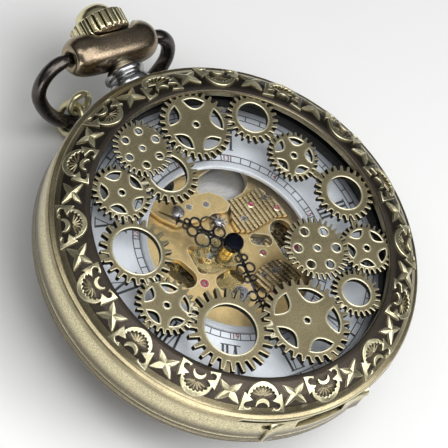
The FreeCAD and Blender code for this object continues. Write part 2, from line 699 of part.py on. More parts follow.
# barrel, ratchet and crown wheel
drum_radius = s.barrel_module * (BARREL_TEETH - 2 * DEDENDUM) / 2 - 0.35
barrel_phase = 0.0
barrel_gear = wheel("barrel_gear", BARREL_TEETH, s.barrel_module, 0.4,
                    over(barrel_at, barrel_low + 0.55), barrel_phase)
drum = rod("barrel_drum", drum_radius, 1.2, over(barrel_at, barrel_low))
hollow = rod("barrel_hollow", drum_radius - 0.3, 0.85, over(barrel_at, barrel_low + 0.2))
eye = rod("barrel_eye", s.arbor * 3 + s.run_clear, 3, over(barrel_at, barrel_low - 1))
node("barrel", cut("barrel", fuse("barrel_blank", barrel_gear, drum), hollow, eye))
node("barrel_arbor", turned("barrel_arbor", [
    (0, 0),
    (0.45, 0),
    (0.45, ratchet_low - PIVOT_LOW - 0.02),
    (0.5, ratchet_low - PIVOT_LOW - 0.02),
    (0.5, ratchet_low - PIVOT_LOW + 0.42),
    (s.arbor * 3, ratchet_low - PIVOT_LOW + 0.42),
    (s.arbor * 3, plate_low - PIVOT_LOW - 0.1),
    (0.45, plate_low - PIVOT_LOW - 0.1),
    (0.45, PIVOT_HIGH - PIVOT_LOW),
    (0, PIVOT_HIGH - PIVOT_LOW),
], over(barrel_at, PIVOT_LOW)))
node("mainspring", cut("mainspring",
                       rod("mainspring_out", drum_radius - 0.4, 0.7, over(barrel_at, barrel_low + 0.28)),
                       rod("mainspring_in", drum_radius - 1.9, 3, over(barrel_at, barrel_low - 1))))
ratchet_phase = 0.0
node("ratchet_wheel", cut("ratchet_wheel",
                          wheel("ratchet_gear", RATCHET_TEETH, s.wind_module, 0.4,
                                over(barrel_at, ratchet_low), ratchet_phase),
                          rod("ratchet_eye", 0.5, 3, over(barrel_at, ratchet_low - 1))))
crown_phase = in_mesh(ratchet_phase, RATCHET_TEETH, CROWN_TEETH, crown_lean)
node("crown_wheel", cut("crown_wheel",
                        wheel("crown_gear", CROWN_TEETH, s.wind_module, 0.45,
                              over(crown_at, ratchet_low), crown_phase),
                        rod("crown_eye", 0.6 + s.run_clear, 3, over(crown_at, ratchet_low - 1))))
node("crown_wheel_core", fuse("crown_wheel_core",
                              rod("core_post", 0.6, 0.62, over(crown_at, bridge_top)),
                              rod("core_head", 1.0, 0.18, over(crown_at, bridge_top + 0.62))))
CLICK_POST = 0.3
click_root = step(barrel_at, s.wind_module * (RATCHET_TEETH + 2) / 2 + 1.5, -20.0)
node("click", cut("click",
                  fuse("click_body",
                       rod("click_hub", 0.7, 0.4, over(click_root, ratchet_low)),
                       block("click_tooth",
                             over((click_root[0] - 1.25, click_root[1] + 0.3), ratchet_low),
                             (1.3, 0.35, 0.4))),
                  rod("click_eye", CLICK_POST + s.run_clear, 3, over(click_root, ratchet_low - 1))))
node("click_post", rod("click_post", CLICK_POST, 0.65, over(click_root, bridge_top)))

# going train
centre_phase = 0.0
centre_leaf_phase = in_mesh(barrel_phase, BARREL_TEETH, LEAVES, BARREL_BEARING + 180.0)
node("centre_wheel", cut("centre_wheel",
                         wheel("centre_gear", CENTRE_TEETH, s.going_module, 0.25,
                               over(centre, centre_low), centre_phase),
                         rod("centre_eye", 0.45, 2, over(centre, centre_low - 1)),
                         *[rod("centre_window_%d" % k, 1.25, 2,
                               over(polar(2.75, 72.0 * k), centre_low - 1)) for k in range(5)]))
node("centre_arbor", fuse("centre_arbor",
                          rod("centre_shaft", 0.25, plate_top + 0.5 - PIVOT_LOW, over(centre, PIVOT_LOW)),
                          wheel("centre_leaves", LEAVES, s.barrel_module, 0.65,
                                over(centre, barrel_low + 0.45), centre_leaf_phase),
                          rod("centre_seat", 0.45, 0.4, over(centre, centre_low - 0.1))))


def pierced(name, blank, at, low, eye, reach, hole, count):
    windows = [rod("%s_window_%d" % (name, k), hole, 2,
                   over(step(at, reach, 360.0 / count * k), low - 1)) for k in range(count)]
    return cut(name, blank, rod(name + "_eye", eye, 2, over(at, low - 1)), *windows)


third_leaf_phase = in_mesh(centre_phase, CENTRE_TEETH, LEAVES, THIRD_BEARING)
third_low = ratchet_low + 0.05
third_phase = 0.0
node("third_wheel", pierced("third_wheel", wheel("third_gear", THIRD_TEETH, s.third_module, 0.25,
                                                 over(third_at, third_low), third_phase),
                            third_at, third_low, 0.4, 2.3, 1.0, 5))
node("third_arbor", fuse("third_arbor", arbor("third_shaft", third_at, PIVOT_LOW, PIVOT_HIGH),
                         rod("third_seat", 0.4, 0.45, over(third_at, third_low - 0.1)),
                         wheel("third_leaves", LEAVES, s.going_module, 0.4,
                               over(third_at, centre_low - 0.08), third_leaf_phase)))
fourth_leaf_phase = in_mesh(third_phase, THIRD_TEETH, LEAVES, FOURTH_BEARING)
fourth_low = third_low + 1.2
fourth_phase = 0.0
node("fourth_wheel", pierced("fourth_wheel", wheel("fourth_gear", FOURTH_TEETH, s.fourth_module, 0.2,
                                                   over(fourth_at, fourth_low), fourth_phase),
                             fourth_at, fourth_low, 0.35, 2.2, 0.95, 5))
node("fourth_arbor", fuse("fourth_arbor", arbor("fourth_shaft", fourth_at, PIVOT_LOW, PIVOT_HIGH),
                          rod("fourth_seat", 0.35, 0.4, over(fourth_at, fourth_low - 0.1)),
                          wheel("fourth_leaves", LEAVES, s.third_module, 0.4,
                                over(fourth_at, third_low - 0.08), fourth_leaf_phase)))
escape_leaf_phase = in_mesh(fourth_phase, FOURTH_TEETH, ESCAPE_LEAVES, ESCAPE_BEARING)
escape_low = third_low + 0.55
ESCAPE_PHASE = PALLET_BEARING + 12.0
node("escape_wheel", pierced("escape_wheel",
                             gear("escape_gear", ESCAPE_TEETH, s.escape_radius, s.escape_radius - 0.6,
                                  0.2, over(escape_at, escape_low), ESCAPE_PHASE, 0.12, 0.35),
                             escape_at, escape_low, 0.35, 1.2, 0.5, 4))
node("escape_arbor", fuse("escape_arbor", arbor("escape_shaft", escape_at, PIVOT_LOW, PIVOT_HIGH),
                          rod("escape_seat", 0.35, 0.4, over(escape_at, escape_low - 0.1)),
                          wheel("escape_leaves", ESCAPE_LEAVES, s.fourth_module, 0.4,
                                over(escape_at, fourth_low - 0.1), escape_leaf_phase)))

# lever: its two arms carry the pallet stones just outside the escape teeth
fork_low = escape_low - 0.02
pallet_turn = PALLET_BEARING + 180.0
fork_end = s.balance_reach - s.impulse_radius + 0.25
fork = padded("fork_blade", [
    (0, -0.25),
    (fork_end - 0.7, -0.14),
    (fork_end - 0.55, -0.5),
    (fork_end, -0.42),
    (fork_end, -0.23),
    (fork_end - 0.5, -0.23),
    (fork_end - 0.5, 0.23),
    (fork_end, 0.23),
    (fork_end, 0.42),
    (fork_end - 0.55, 0.5),
    (fork_end - 0.7, 0.14),
    (0, 0.25),
], 0.24, over(pallet_at, fork_low), (0, 0, 1), BALANCE_BEARING)
arms = []
for side, sign in (("entry", 1), ("exit", -1)):
    bearing = pallet_turn + sign * 58.0
    arms.append(block("arm_" + side, over(pallet_at, fork_low), (s.pallet_reach * 0.52, 0.3, 0.24),
                      (0, 0, 1), bearing))
node("pallet_fork", fuse("pallet_fork", fork, *arms, rod("fork_hub", 0.42, 0.24, over(pallet_at, fork_low)),
                         arbor("fork_arbor", pallet_at, fork_low, PIVOT_HIGH, 0.16)))

# balance
rim = cut("balance_rim", rod("balance_out", s.balance_radius, 0.45, over(balance_at, balance_low)),
          rod("balance_in", s.balance_radius - 0.6, 2, over(balance_at, balance_low - 1)))
spokes = [block("balance_spoke_%d" % k, over(balance_at, balance_low + 0.1),
                (s.balance_radius - 0.3, 0.45, 0.3), (0, 0, 1), 120.0 * k + 30.0) for k in range(3)]
screws = [rod("balance_screw_%d" % k, 0.2, 0.3, over(step(balance_at, s.balance_radius - 0.3, 24.0 * k + 12),
                                                     balance_low + 0.3)) for k in range(15)]
node("balance_wheel", cut("balance_wheel",
                          fuse("balance_blank", rim, *spokes, *screws,
                               rod("balance_hub", 0.8, 0.3, over(balance_at, balance_low + 0.1))),
                          rod("balance_eye", 0.4, 2, over(balance_at, balance_low - 1))))
node("balance_staff", fuse("balance_staff",
                           arbor("staff_shaft", balance_at, PIVOT_LOW, PIVOT_HIGH, 0.15),
                           rod("staff_seat", 0.4, 0.65, over(balance_at, balance_low + 0.02)),
                           rod("roller", 1.1, 0.2, over(balance_at, escape_low + 0.38)),
                           rod("impulse_pin", 0.12, 0.5,
                               over(step(balance_at, s.impulse_radius, BALANCE_BEARING + 180.0),
                                    escape_low - 0.05))))
node("hairspring", cut("hairspring",
                       rod("hair_out", 1.9, 0.1, over(balance_at, bridge_top + 0.58)),
                       rod("hair_in", 0.4, 1, over(balance_at, bridge_top))))

# ---------------------------------------------------------------- plates and bridges
jewels = []
jewel_holes = []
bridge_jewels = []
for name, at, hole in (("third", third_at, s.arbor), ("fourth", fourth_at, s.arbor),
                       ("escape", escape_at, s.arbor), ("balance", balance_at, 0.15),
                       ("pallet", pallet_at, 0.16)):
    for where, low, thick in (("plate", plate_low, s.plate_thick), ("bridge", bridge_low, s.bridge_thick)):
        if (name, where) == ("pallet", "bridge"):
            continue
        jewels.append(cut("jewel_%s_%s" % (name, where),
                          rod("jewel_out_%s_%s" % (name, where), s.jewel, thick, over(at, low)),
                          rod("jewel_in_%s_%s" % (name, where), Size.of(hole) + s.run_clear, 4,
                              over(at, low - 1))))
    jewel_holes.append(rod("plate_hole_" + name, s.jewel, 4, over(at, plate_low - 1)))
    if name not in ("pallet", "balance"):
        bridge_jewels.append(rod("bridge_hole_" + name, s.jewel, 3, over(at, bridge_low - 1)))
node("jewels", group("jewels", *jewels))

disc = rod("plate_disc", s.plate_radius, s.plate_thick, (0, 0, plate_low))
wall = cut("plate_wall", rod("wall_out", s.plate_radius, plate_low - bridge_top, (0, 0, bridge_top)),
           rod("wall_in", s.plate_radius - 1.6, 6, (0, 0, bridge_top - 1)))


def window(name, first, last, radius):
    """A long rounded opening between two points."""
    dx, dy = last[0] - first[0], last[1] - first[1]
    bearing = math.degrees(math.atan2(dy, dx))
    side = polar(radius, bearing - 90.0)
    return fuse(name,
                rod(name + "_a", radius, 3, (first[0], first[1], plate_low - 1)),
                rod(name + "_b", radius, 3, (last[0], last[1], plate_low - 1)),
                block(name + "_c", (first[0] + side[0], first[1] + side[1], plate_low - 1),
                      (math.hypot(dx, dy), 2 * radius, 3), (0, 0, 1), bearing))


windows = [
    window("window_left", (-7.1, 0.1), (-6.5, -1.3), 1.35),
    window("window_slot", (-3.9, 1.6), (-3.9, -0.9), 0.7),
    window("window_barrel", (3.0, 8.1), (5.4, 8.6), 2.3),
    window("window_train", (-2.0, -3.5), (-0.3, -3.2), 1.25),
    window("window_kidney", (4.6, 0.3), (5.8, -0.3), 0.75),
    window("window_balance", (8.3, 0.2), (8.4, -2.4), 1.5),
    window("window_crown", (-4.9, 9.6), (-3.1, 10.9), 1.5),
    window("window_low", (-8.6, -7.2), (-6.6, -9.4), 1.6),
    window("window_foot", (3.4, -11.4), (7.6, -9.8), 1.3),
    window("window_outer", (-11.6, 3.6), (-11.8, -2.2), 1.4),
]
winder_room = block("winder_room", (-s.winder_radius - 0.25, stem_end + 0.8, plate_low - 3.5),
                    ((s.winder_radius + 0.25) * 2, 8, 6))
stem_room = block("stem_room", (-0.6, stem_end - 0.2, plate_low - 0.5), (1.2, 2.0, 3))
plate_bores = [rod("centre_hole", 0.3, 4, over(centre, plate_low - 1)),
               rod("barrel_hole", 0.5, 4, over(barrel_at, plate_low - 1))]
pallet_boss = rod("pallet_boss", s.jewel + 0.3, plate_low - fork_low - 0.42, over(pallet_at, fork_low + 0.42))
pallet_run = rod("pallet_run", 0.16 + s.run_clear, 4, over(pallet_at, fork_low))
node("main_plate", cut("main_plate", fuse("plate_blank", disc, wall, pallet_boss), *windows, pallet_run,
                       winder_room, stem_room, *jewel_holes, *plate_bores))

bridge_disc = rod("bridge_disc", s.plate_radius, s.bridge_thick, (0, 0, bridge_low))
SPLIT = 0.25
WIDE = 40.0
upper_half = common("barrel_bridge_blank", bridge_disc,
                    block("upper_half", (-WIDE / 2, SPLIT - 1.0, bridge_low - 1), (WIDE, WIDE, 4)))
barrel_bores = [rod("bridge_barrel_hole", 0.5, 3, over(barrel_at, bridge_low - 1)),
                rod("bridge_centre_hole", 0.3, 3, over(centre, bridge_low - 1)),
                rod("bridge_eye_high", 2.2, 3, (-9.0, 6.5, bridge_low - 1)),
                rod("bridge_eye_low", 1.6, 3, (-5.2, 11.2, bridge_low - 1))]
node("barrel_bridge", cut("barrel_bridge", upper_half, *barrel_bores))
low_half = block("lower_half", (-WIDE / 2, -WIDE - 0.75 - SPLIT, bridge_low - 1), (WIDE, WIDE, 4))
cock_side = rod("cock_side", s.balance_radius + 1.6, 4, over(balance_at, bridge_low - 1))
cock_foot = block("cock_foot", (balance_at[0] - 1.5, -WIDE / 2, bridge_low - 1), (WIDE, WIDE / 2 - 1.0, 4))
train = cut("train_bridge", common("train_blank", rod("train_disc", s.plate_radius, s.bridge_thick,
                                                      (0, 0, bridge_low)), low_half),
            fuse("cock_room", cock_side, cock_foot), *bridge_jewels,
            rod("train_eye", 1.9, 3, (-7.0, -8.6, bridge_low - 1)))
node("train_bridge", train)
cock = padded("cock_blade", [
    (-1.1, -1.0),
    (8.6, -1.9),
    (8.6, 1.9),
    (-1.1, 1.0),
], s.bridge_thick - 0.2, over(balance_at, bridge_low), (0, 0, 1), -32.0)
cock_limit = rod("cock_limit", s.plate_radius, 4, (0, 0, bridge_low - 1))
cock_foot_block = common("cock_foot_block",
                         block("cock_foot_blank", over(balance_at, bridge_low), (7.4, 3.8, s.bridge_thick),
                               (0, 0, 1), -32.0),
                         rod("cock_foot_out", s.plate_radius, 4, (0, 0, bridge_low - 1)))
foot_ring = cut("cock_foot_ring", cock_foot_block, rod("cock_foot_in", s.plate_radius - 1.5, 6,
                                                       (0, 0, bridge_low - 2)))
cock_hole = rod("cock_hole", s.jewel, 4, over(balance_at, bridge_low - 1))
node("balance_cock", cut("balance_cock", fuse("cock_body", common("cock_trim", cock, cock_limit), foot_ring),
                         cock_hole))

# front pieces seen through the dial
front_low = plate_top
front_thick = 0.7
front_screw_places = []


def front_piece(name, points, height, screws):
    holes = [rod("%s_hole_%d" % (name, k), 0.4, 4, (x, y, front_low - 1))
             for k, (x, y) in enumerate(screws)]
    front_screw_places.extend(screws)
    return node(name, cut(name, padded(name + "_blank", points, height, (0, 0, front_low)), *holes))


front_piece("front_bridge_top", [
    (-4.6, 4.9), (-0.6, 4.6), (0.6, 4.9), (2.6, 4.6), (3.4, 5.3), (2.9, 6.6), (1.6, 7.7),
    (-0.9, 8.0), (-3.1, 7.7), (-5.6, 9.0), (-7.0, 8.1), (-6.0, 6.4),
], front_thick, [(0.4, 6.3), (-1.9, 6.7)])
front_piece("front_bridge_right", [
    (2.6, 1.8), (4.3, 1.2), (6.4, 1.6), (8.6, 1.9), (9.9, 1.5), (9.5, 3.2), (8.6, 5.3), (7.9, 6.2),
    (5.5, 5.6), (3.6, 5.9), (2.5, 3.2),
], front_thick, [(4.1, 3.0), (8.0, 4.7)])
front_piece("front_bridge_low", [
    (1.1, -4.6), (2.4, -3.6), (4.3, -3.1), (5.8, -3.3), (6.7, -4.6), (7.2, -6.2), (4.4, -6.6),
    (1.9, -6.4),
], front_thick, [(2.7, -4.4), (4.4, -4.4)])
front_screws = []
for k, (x, y) in enumerate(front_screw_places):
    front_screws.append(cut("front_screw_%d" % k,
                            rod("front_screw_head_%d" % k, 0.4, front_thick, (x, y, front_low)),
                            block("front_screw_slot_%d" % k, (x - 0.5, y - 0.05, front_low + 0.5),
                                  (1.0, 0.1, 1))))
node("front_screws", group("front_screws", *front_screws))
node("seconds_boss", cut("seconds_boss", rod("seconds_boss_blank", 1.15, 0.35, over(fourth_at, plate_top)),
                         rod("seconds_boss_hole", 0.3, 2, over(fourth_at, plate_top - 1))))

# ---------------------------------------------------------------- winding and setting
winder_y = crown_at[1] + s.wind_module * CROWN_TEETH / 2 - 0.35
node("winding_pinion", cut("winding_pinion",
                           gear("winder_gear", WINDER_TEETH, s.winder_radius, s.winder_radius - 0.35, 0.95,
                                (0, 0, 0), 90.0, 0.3, 0.55),
                           rod("winder_bore", 0.6 + s.run_clear, 3, (0, 0, -1))))
place(nodes["winding_pinion"], (0, winder_y, stem_z), *ALONG_Y)
clutch_y = winder_y - 1.35
node("clutch", turned("clutch", [
    (0.6 + s.run_clear, 0),
    (s.clutch_radius, 0),
    (s.clutch_radius, 0.35),
    (s.clutch_radius - 0.35, 0.35),
    (s.clutch_radius - 0.35, 0.75),
    (s.clutch_radius, 0.75),
    (s.clutch_radius, 1.3),
    (0.6 + s.run_clear, 1.3),
], (0, clutch_y, stem_z), *ALONG_Y))

# ---------------------------------------------------------------- motion work and hands
hour_low = plate_top + 0.22
minute_phase = in_mesh(0.0, CANNON_TEETH, MINUTE_TEETH, MINUTE_BEARING)
cannon_module = s.hour_module * (MINUTE_LEAVES + HOUR_TEETH) / (CANNON_TEETH + MINUTE_TEETH)
leaf_low = plate_top + 0.28
hand_high = glass_low - 0.55
node("cannon_pinion", cut("cannon_pinion",
                          fuse("cannon_blank",
                               wheel("cannon_leaves", CANNON_TEETH, cannon_module, 0.17,
                                     over(centre, plate_top + 0.03)),
                               rod("cannon_pipe", 0.5, hand_high + 0.3 - plate_top - 0.03,
                                   over(centre, plate_top + 0.03))),
                          rod("cannon_bore", 0.25, 1.0, over(centre, plate_top - 0.5))))
node("minute_wheel", cut("minute_wheel",
                         fuse("minute_blank",
                              wheel("minute_gear", MINUTE_TEETH, cannon_module, 0.15,
                                    over(minute_at, plate_top + 0.04), minute_phase),
                              wheel("minute_leaves", MINUTE_LEAVES, s.hour_module, 0.32,
                                    over(minute_at, plate_top + 0.19), 0.0)),
                         rod("minute_eye", 0.2 + s.run_clear, 3, over(minute_at, plate_top - 1)),
                         *[rod("minute_window_%d" % k, 0.4, 3,
                               over(step(minute_at, 1.15, 72.0 * k + 36), plate_top - 1))
                           for k in range(5)]))
node("minute_post", fuse("minute_post",
                         rod("minute_pin", 0.2, 0.55, over(minute_at, plate_top)),
                         rod("minute_cap", 0.45, 0.12, over(minute_at, plate_top + 0.55))))
hour_phase = in_mesh(0.0, MINUTE_LEAVES, HOUR_TEETH, 0.0)
node("hour_wheel", cut("hour_wheel",
                       fuse("hour_blank",
                            wheel("hour_gear", HOUR_TEETH, s.hour_module, 0.22,
                                  over(centre, plate_top + 0.27), hour_phase),
                            rod("hour_pipe", 0.8, hand_high - 0.35 - plate_top - 0.27,
                                over(centre, plate_top + 0.27))),
                       rod("hour_bore", 0.5 + s.run_clear, 4, over(centre, plate_top))))


def hand(name, reach, low, eye, bearing, rings, cross_at):
    """A blued openwork hand: a slim spine with pairs of rings, a four-pointed cross and a long tip.
    rings holds (distance along, half spread, radius) for each pair."""
    spine = padded(name + "_spine", [
        (0, -0.2),
        (cross_at - 0.7, -0.12),
        (cross_at - 0.15, -0.2),
        (cross_at, -0.85),
        (cross_at + 0.2, -0.2),
        (reach, 0),
        (cross_at + 0.2, 0.2),
        (cross_at, 0.85),
        (cross_at - 0.15, 0.2),
        (cross_at - 0.7, 0.12),
        (0, 0.2),
    ], HAND_THICK, over(centre, low), (0, 0, 1), bearing)
    parts = [spine, rod(name + "_boss", HAND_BOSS, HAND_THICK, over(centre, low))]
    for k, (along_hand, spread, radius) in enumerate(rings):
        for side, sign in (("l", 1), ("r", -1)):
            spot = step(step(centre, along_hand, bearing), spread, bearing + sign * 90.0)
            parts.append(cut("%s_ring_%d_%s" % (name, k, side),
                             rod("%s_out_%d_%s" % (name, k, side), radius, HAND_THICK, over(spot, low)),
                             rod("%s_in_%d_%s" % (name, k, side), radius - RING_WIDTH, 1,
                                 over(spot, low - 0.5))))
    return node(name, cut(name, fuse(name + "_blank", *parts),
                          rod(name + "_eye", eye, 2, over(centre, low - 1))))


HAND_THICK, HAND_BOSS, RING_WIDTH = 0.2, 1.2, 0.22
HOURS_PAST_TWELVE = 10.517
HOUR_RINGS = [(2.0, 0.75, 0.85), (3.6, 1.15, 1.05), (5.1, 0.65, 0.75), (6.1, 0.35, 0.45)]
MINUTE_RINGS = [(2.2, 0.4, 0.5), (3.6, 0.6, 0.7), (5.0, 0.4, 0.5), (7.2, 0.6, 0.7), (8.4, 0.35, 0.45)]
HOUR_BEARING = 90.0 - 30.0 * HOURS_PAST_TWELVE
MINUTE_HAND_BEARING = 90.0 - 360.0 * (HOURS_PAST_TWELVE % 1.0)
hand("hour_hand", s.hour_reach, hand_high - 0.55, 0.8, HOUR_BEARING, HOUR_RINGS, 7.2)
hand("minute_hand", s.minute_reach, hand_high, 0.5, MINUTE_HAND_BEARING, MINUTE_RINGS, 10.0)

# ---------------------------------------------------------------- write
doc.recompute()
faults = []
for thing in doc.Objects:
    if "Invalid" in thing.State or "Error" in thing.State:
        faults.append("%s is %s" % (thing.Name, thing.State))
for label, thing in nodes.items():
    shape = thing.Shape
    if shape.isNull() or not shape.isValid() or not shape.Solids:
        faults.append("%s has no sound solid" % label)
if faults:
    raise RuntimeError("; ".join(faults))
for label, thing in nodes.items():
    box = thing.Shape.BoundBox
    print("%-18s solids %d faces %d volume %.2f x %.2f..%.2f y %.2f..%.2f z %.2f..%.2f" % (
        label, len(thing.Shape.Solids), len(thing.Shape.Faces), thing.Shape.Volume,
        box.XMin, box.XMax, box.YMin, box.YMax, box.ZMin, box.ZMax))
    thing.Shape.exportStep("parts/%s.step" % label)
print("%d nodes" % len(nodes))
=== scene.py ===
import math

import bmesh
import bpy
from bpy.props import FloatProperty, PointerProperty
from mathutils import Matrix, Vector


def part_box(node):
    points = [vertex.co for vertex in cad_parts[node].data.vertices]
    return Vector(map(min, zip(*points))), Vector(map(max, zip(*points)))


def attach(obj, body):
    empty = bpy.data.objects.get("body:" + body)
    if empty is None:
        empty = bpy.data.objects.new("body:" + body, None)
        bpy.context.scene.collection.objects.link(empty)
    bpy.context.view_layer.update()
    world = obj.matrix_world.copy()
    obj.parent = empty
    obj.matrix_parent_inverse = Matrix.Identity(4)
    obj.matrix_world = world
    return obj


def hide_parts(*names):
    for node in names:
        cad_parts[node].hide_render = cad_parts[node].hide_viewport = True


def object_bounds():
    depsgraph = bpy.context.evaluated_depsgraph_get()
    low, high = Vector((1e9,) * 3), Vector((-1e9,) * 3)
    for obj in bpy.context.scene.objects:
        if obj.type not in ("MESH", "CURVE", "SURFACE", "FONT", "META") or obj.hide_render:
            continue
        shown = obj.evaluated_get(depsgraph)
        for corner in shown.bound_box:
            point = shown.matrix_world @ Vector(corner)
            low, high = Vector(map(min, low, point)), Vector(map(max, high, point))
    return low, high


bl_info = {
    "name": "Pocket watch",
    "version": (1, 0, 0),
    "blender": (4, 5, 0),
    "location": "View3D > Sidebar > Watch",
    "description": "Builds the visible pieces of an openwork pocket watch round its CAD frame",
    "category": "Add Mesh",
}

MM = 0.001


# ---------------------------------------------------------------- the frame's measures
def low(node):
    """A node's lowest corner in millimetres."""
    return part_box(node)[0] / MM


def high(node):
    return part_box(node)[1] / MM


def middle(node):
    return (low(node) + high(node)) / 2


# ---------------------------------------------------------------- mesh helpers
def add_mesh(name, vertices, faces, material, smooth=True):
    mesh = bpy.data.meshes.new(name)
    mesh.from_pydata([Vector(v) * MM for v in vertices], [], faces)
    mesh.update()
    piece = bpy.data.objects.new(name, mesh)
    bpy.context.collection.objects.link(piece)
    mesh.materials.append(material)
    if smooth:
        mesh.shade_smooth()
    return piece


def sharpen(piece, degrees=35.0):
    """Keeps creases above an angle crisp on a smooth-shaded mesh."""
    piece.data.set_sharp_from_angle(angle=math.radians(degrees))
    return piece


def join(name, pieces):
    """One mesh from several, with every material kept."""
    bm = bmesh.new()
    materials = []
    for piece in pieces:
        offset = {}
        for index, material in enumerate(piece.data.materials):
            if material not in materials:
                materials.append(material)
            offset[index] = materials.index(material)
        copy = piece.data.copy()
        copy.transform(piece.matrix_world)
        start = len(bm.faces)
        bm.from_mesh(copy)
        bm.faces.ensure_lookup_table()
        for face in bm.faces[start:]:
            face.material_index = offset.get(face.material_index, 0)
        bpy.data.meshes.remove(copy)
        bpy.data.objects.remove(piece)
    mesh = bpy.data.meshes.new(name)
    bm.to_mesh(mesh)
    bm.free()
    whole = bpy.data.objects.new(name, mesh)
    bpy.context.collection.objects.link(whole)
    for material in materials:
        mesh.materials.append(material)
    return whole


def move(piece, matrix):
    piece.data.transform(matrix)
    return piece


def lathe(name, profile, material, segments=192, warp=None, crease=35.0, closed=True):
    """A turned shape from (radius, height) points.  warp(angle, radius, height) may reshape it."""
    rows = len(profile)
    vertices, faces = [], []
    for k in range(segments):
        angle = 2 * math.pi * k / segments
        for radius, height in profile:
            if warp:
                radius, height = warp(angle, radius, height)
            vertices.append((radius * math.cos(angle), radius * math.sin(angle), height))
    spans = rows if closed else rows - 1
    for k in range(segments):
        for i in range(spans):
            a, b = k * rows + i, k * rows + (i + 1) % rows
            c, d = ((k + 1) % segments) * rows + (i + 1) % rows, ((k + 1) % segments) * rows + i
            faces.append((a, d, c, b))
    piece = add_mesh(name, vertices, faces, material)
    bm = bmesh.new()
    bm.from_mesh(piece.data)
    bmesh.ops.remove_doubles(bm, verts=bm.verts, dist=1e-8)
    bmesh.ops.dissolve_degenerate(bm, dist=1e-9, edges=bm.edges)
    bmesh.ops.recalc_face_normals(bm, faces=bm.faces)
    bm.to_mesh(piece.data)
    bm.free()
    return sharpen(piece, crease)


def rounded(points, cut, steps=3, closed=True):
    """A profile with each corner replaced by a short arc of roughly the given size."""
    result = []
    count = len(points)
    for i, point in enumerate(points):
        if not closed and i in (0, count - 1):
            result.append(point)
            continue
        here = Vector(point)
        before = Vector(points[i - 1]) - here
        after = Vector(points[(i + 1) % count]) - here
        size = min(cut, before.length * 0.45, after.length * 0.45)
        start, end = here + before.normalized() * size, here + after.normalized() * size
        for k in range(steps + 1):
            t = k / steps
            result.append(tuple(start * (1 - t) ** 2 + here * 2 * t * (1 - t) + end * t ** 2))
    return result


def plate(name, loops, bottom, top, material, bevel=0.05, steps=2):
    """A flat piece with rounded edges, from outlines in the plane.  Inner outlines are holes."""
    curve = bpy.data.curves.new(name, "CURVE")
    curve.dimensions = "2D"
    curve.fill_mode = "BOTH"
    curve.extrude = ((top - bottom) / 2 - bevel) * MM
    curve.bevel_depth = bevel * MM
    curve.bevel_resolution = steps
    curve.offset = -bevel * MM
    for loop in loops:
        spline = curve.splines.new("POLY")
        spline.points.add(len(loop) - 1)
        for point, (x, y) in zip(spline.points, loop):
            point.co = (x * MM, y * MM, 0, 1)
        spline.use_cyclic_u = True
    flat = bpy.data.objects.new(name + "_curve", curve)
    bpy.context.collection.objects.link(flat)
    depsgraph = bpy.context.evaluated_depsgraph_get()
    mesh = bpy.data.meshes.new_from_object(flat.evaluated_get(depsgraph))
    bpy.data.objects.remove(flat)
    mesh.transform(Matrix.Translation((0, 0, (bottom + top) / 2 * MM)))
    mesh.materials.clear()
    mesh.materials.append(material)
    piece = bpy.data.objects.new(name, mesh)
    bpy.context.collection.objects.link(piece)
    mesh.shade_smooth()
    return sharpen(piece, 40.0)


def tube(name, points, radius, material, closed=False, sides=16, taper=None):
    """A round wire along points in millimetres, its frame carried from point to point."""
    path = [Vector(p) for p in points]
    count = len(path)
    vertices, faces = [], []
    normal = None
    for i in range(count):
        ahead = path[(i + 1) % count] if closed or i < count - 1 else path[i]
        behind = path[i - 1] if closed or i else path[i]
        along = (ahead - behind).normalized()
        if normal is None:
            normal = along.orthogonal().normalized()
        normal = (normal - along * normal.dot(along)).normalized()
        across = along.cross(normal)
        size = radius * (taper(i / (count - 1)) if taper else 1.0)
        for k in range(sides):
            angle = 2 * math.pi * k / sides
            vertices.append(path[i] + (normal * math.cos(angle) + across * math.sin(angle)) * size)
    for i in range(count if closed else count - 1):
        for k in range(sides):
            a, b = i * sides + k, i * sides + (k + 1) % sides
            c, d = ((i + 1) % count) * sides + (k + 1) % sides, ((i + 1) % count) * sides + k
            faces.append((a, b, c, d))
    if not closed:
        faces.append(tuple(range(sides))[::-1])
        faces.append(tuple(range((count - 1) * sides, count * sides)))
    return sharpen(add_mesh(name, vertices, faces, material), 50.0)


def ring_points(radius, count=64, x=0.0, y=0.0, first=0.0, last=360.0):
    """Points on a circle, or on part of one."""
    whole = abs(last - first) >= 360.0
    steps = count if whole else count - 1
    return [(x + radius * math.cos(math.radians(first + (last - first) * k / steps)),
             y + radius * math.sin(math.radians(first + (last - first) * k / steps)))
            for k in range(count)]


def turn_point(point, angle, x=0.0, y=0.0):
    c, s = math.cos(math.radians(angle)), math.sin(math.radians(angle))
    return (x + point[0] * c - point[1] * s, y + point[0] * s + point[1] * c)


def gear_loop(teeth, tip, root, phase, x, y, tip_share=0.3, root_share=0.62):
    """The outline of a toothed wheel, with slightly domed tips and a hollow between teeth."""
    pitch = 360.0 / teeth
    loop = []
    for k in range(teeth):
        centre = phase + k * pitch
        for turn, radius in ((-0.5, root - 0.02), (-root_share / 2, root), (-tip_share / 2, tip),
                             (0.0, tip + 0.02), (tip_share / 2, tip), (root_share / 2, root)):
            loop.append(turn_point((radius, 0), centre + turn * pitch, x, y))
    return loop


def lens_loop(reach, bearing, x, y, half=25.0, outer=0.9, inner=0.53, ends=0.87, count=14):
    """A window with a rounded outer edge and an inner edge that bows towards the centre."""
    first = Vector(turn_point((reach * ends, 0), bearing - half))
    last = Vector(turn_point((reach * ends, 0), bearing + half))
    loop = []
    for start, end, depth in ((first, last, outer), (last, first, inner)):
        peak = Vector(turn_point((reach * depth, 0), bearing))
        pull = peak * 2 - (start + end) / 2
        for k in range(count):
            t = k / count
            spot = start * (1 - t) ** 2 + pull * 2 * t * (1 - t) + end * t ** 2
            loop.append((spot.x + x, spot.y + y))
    return loop


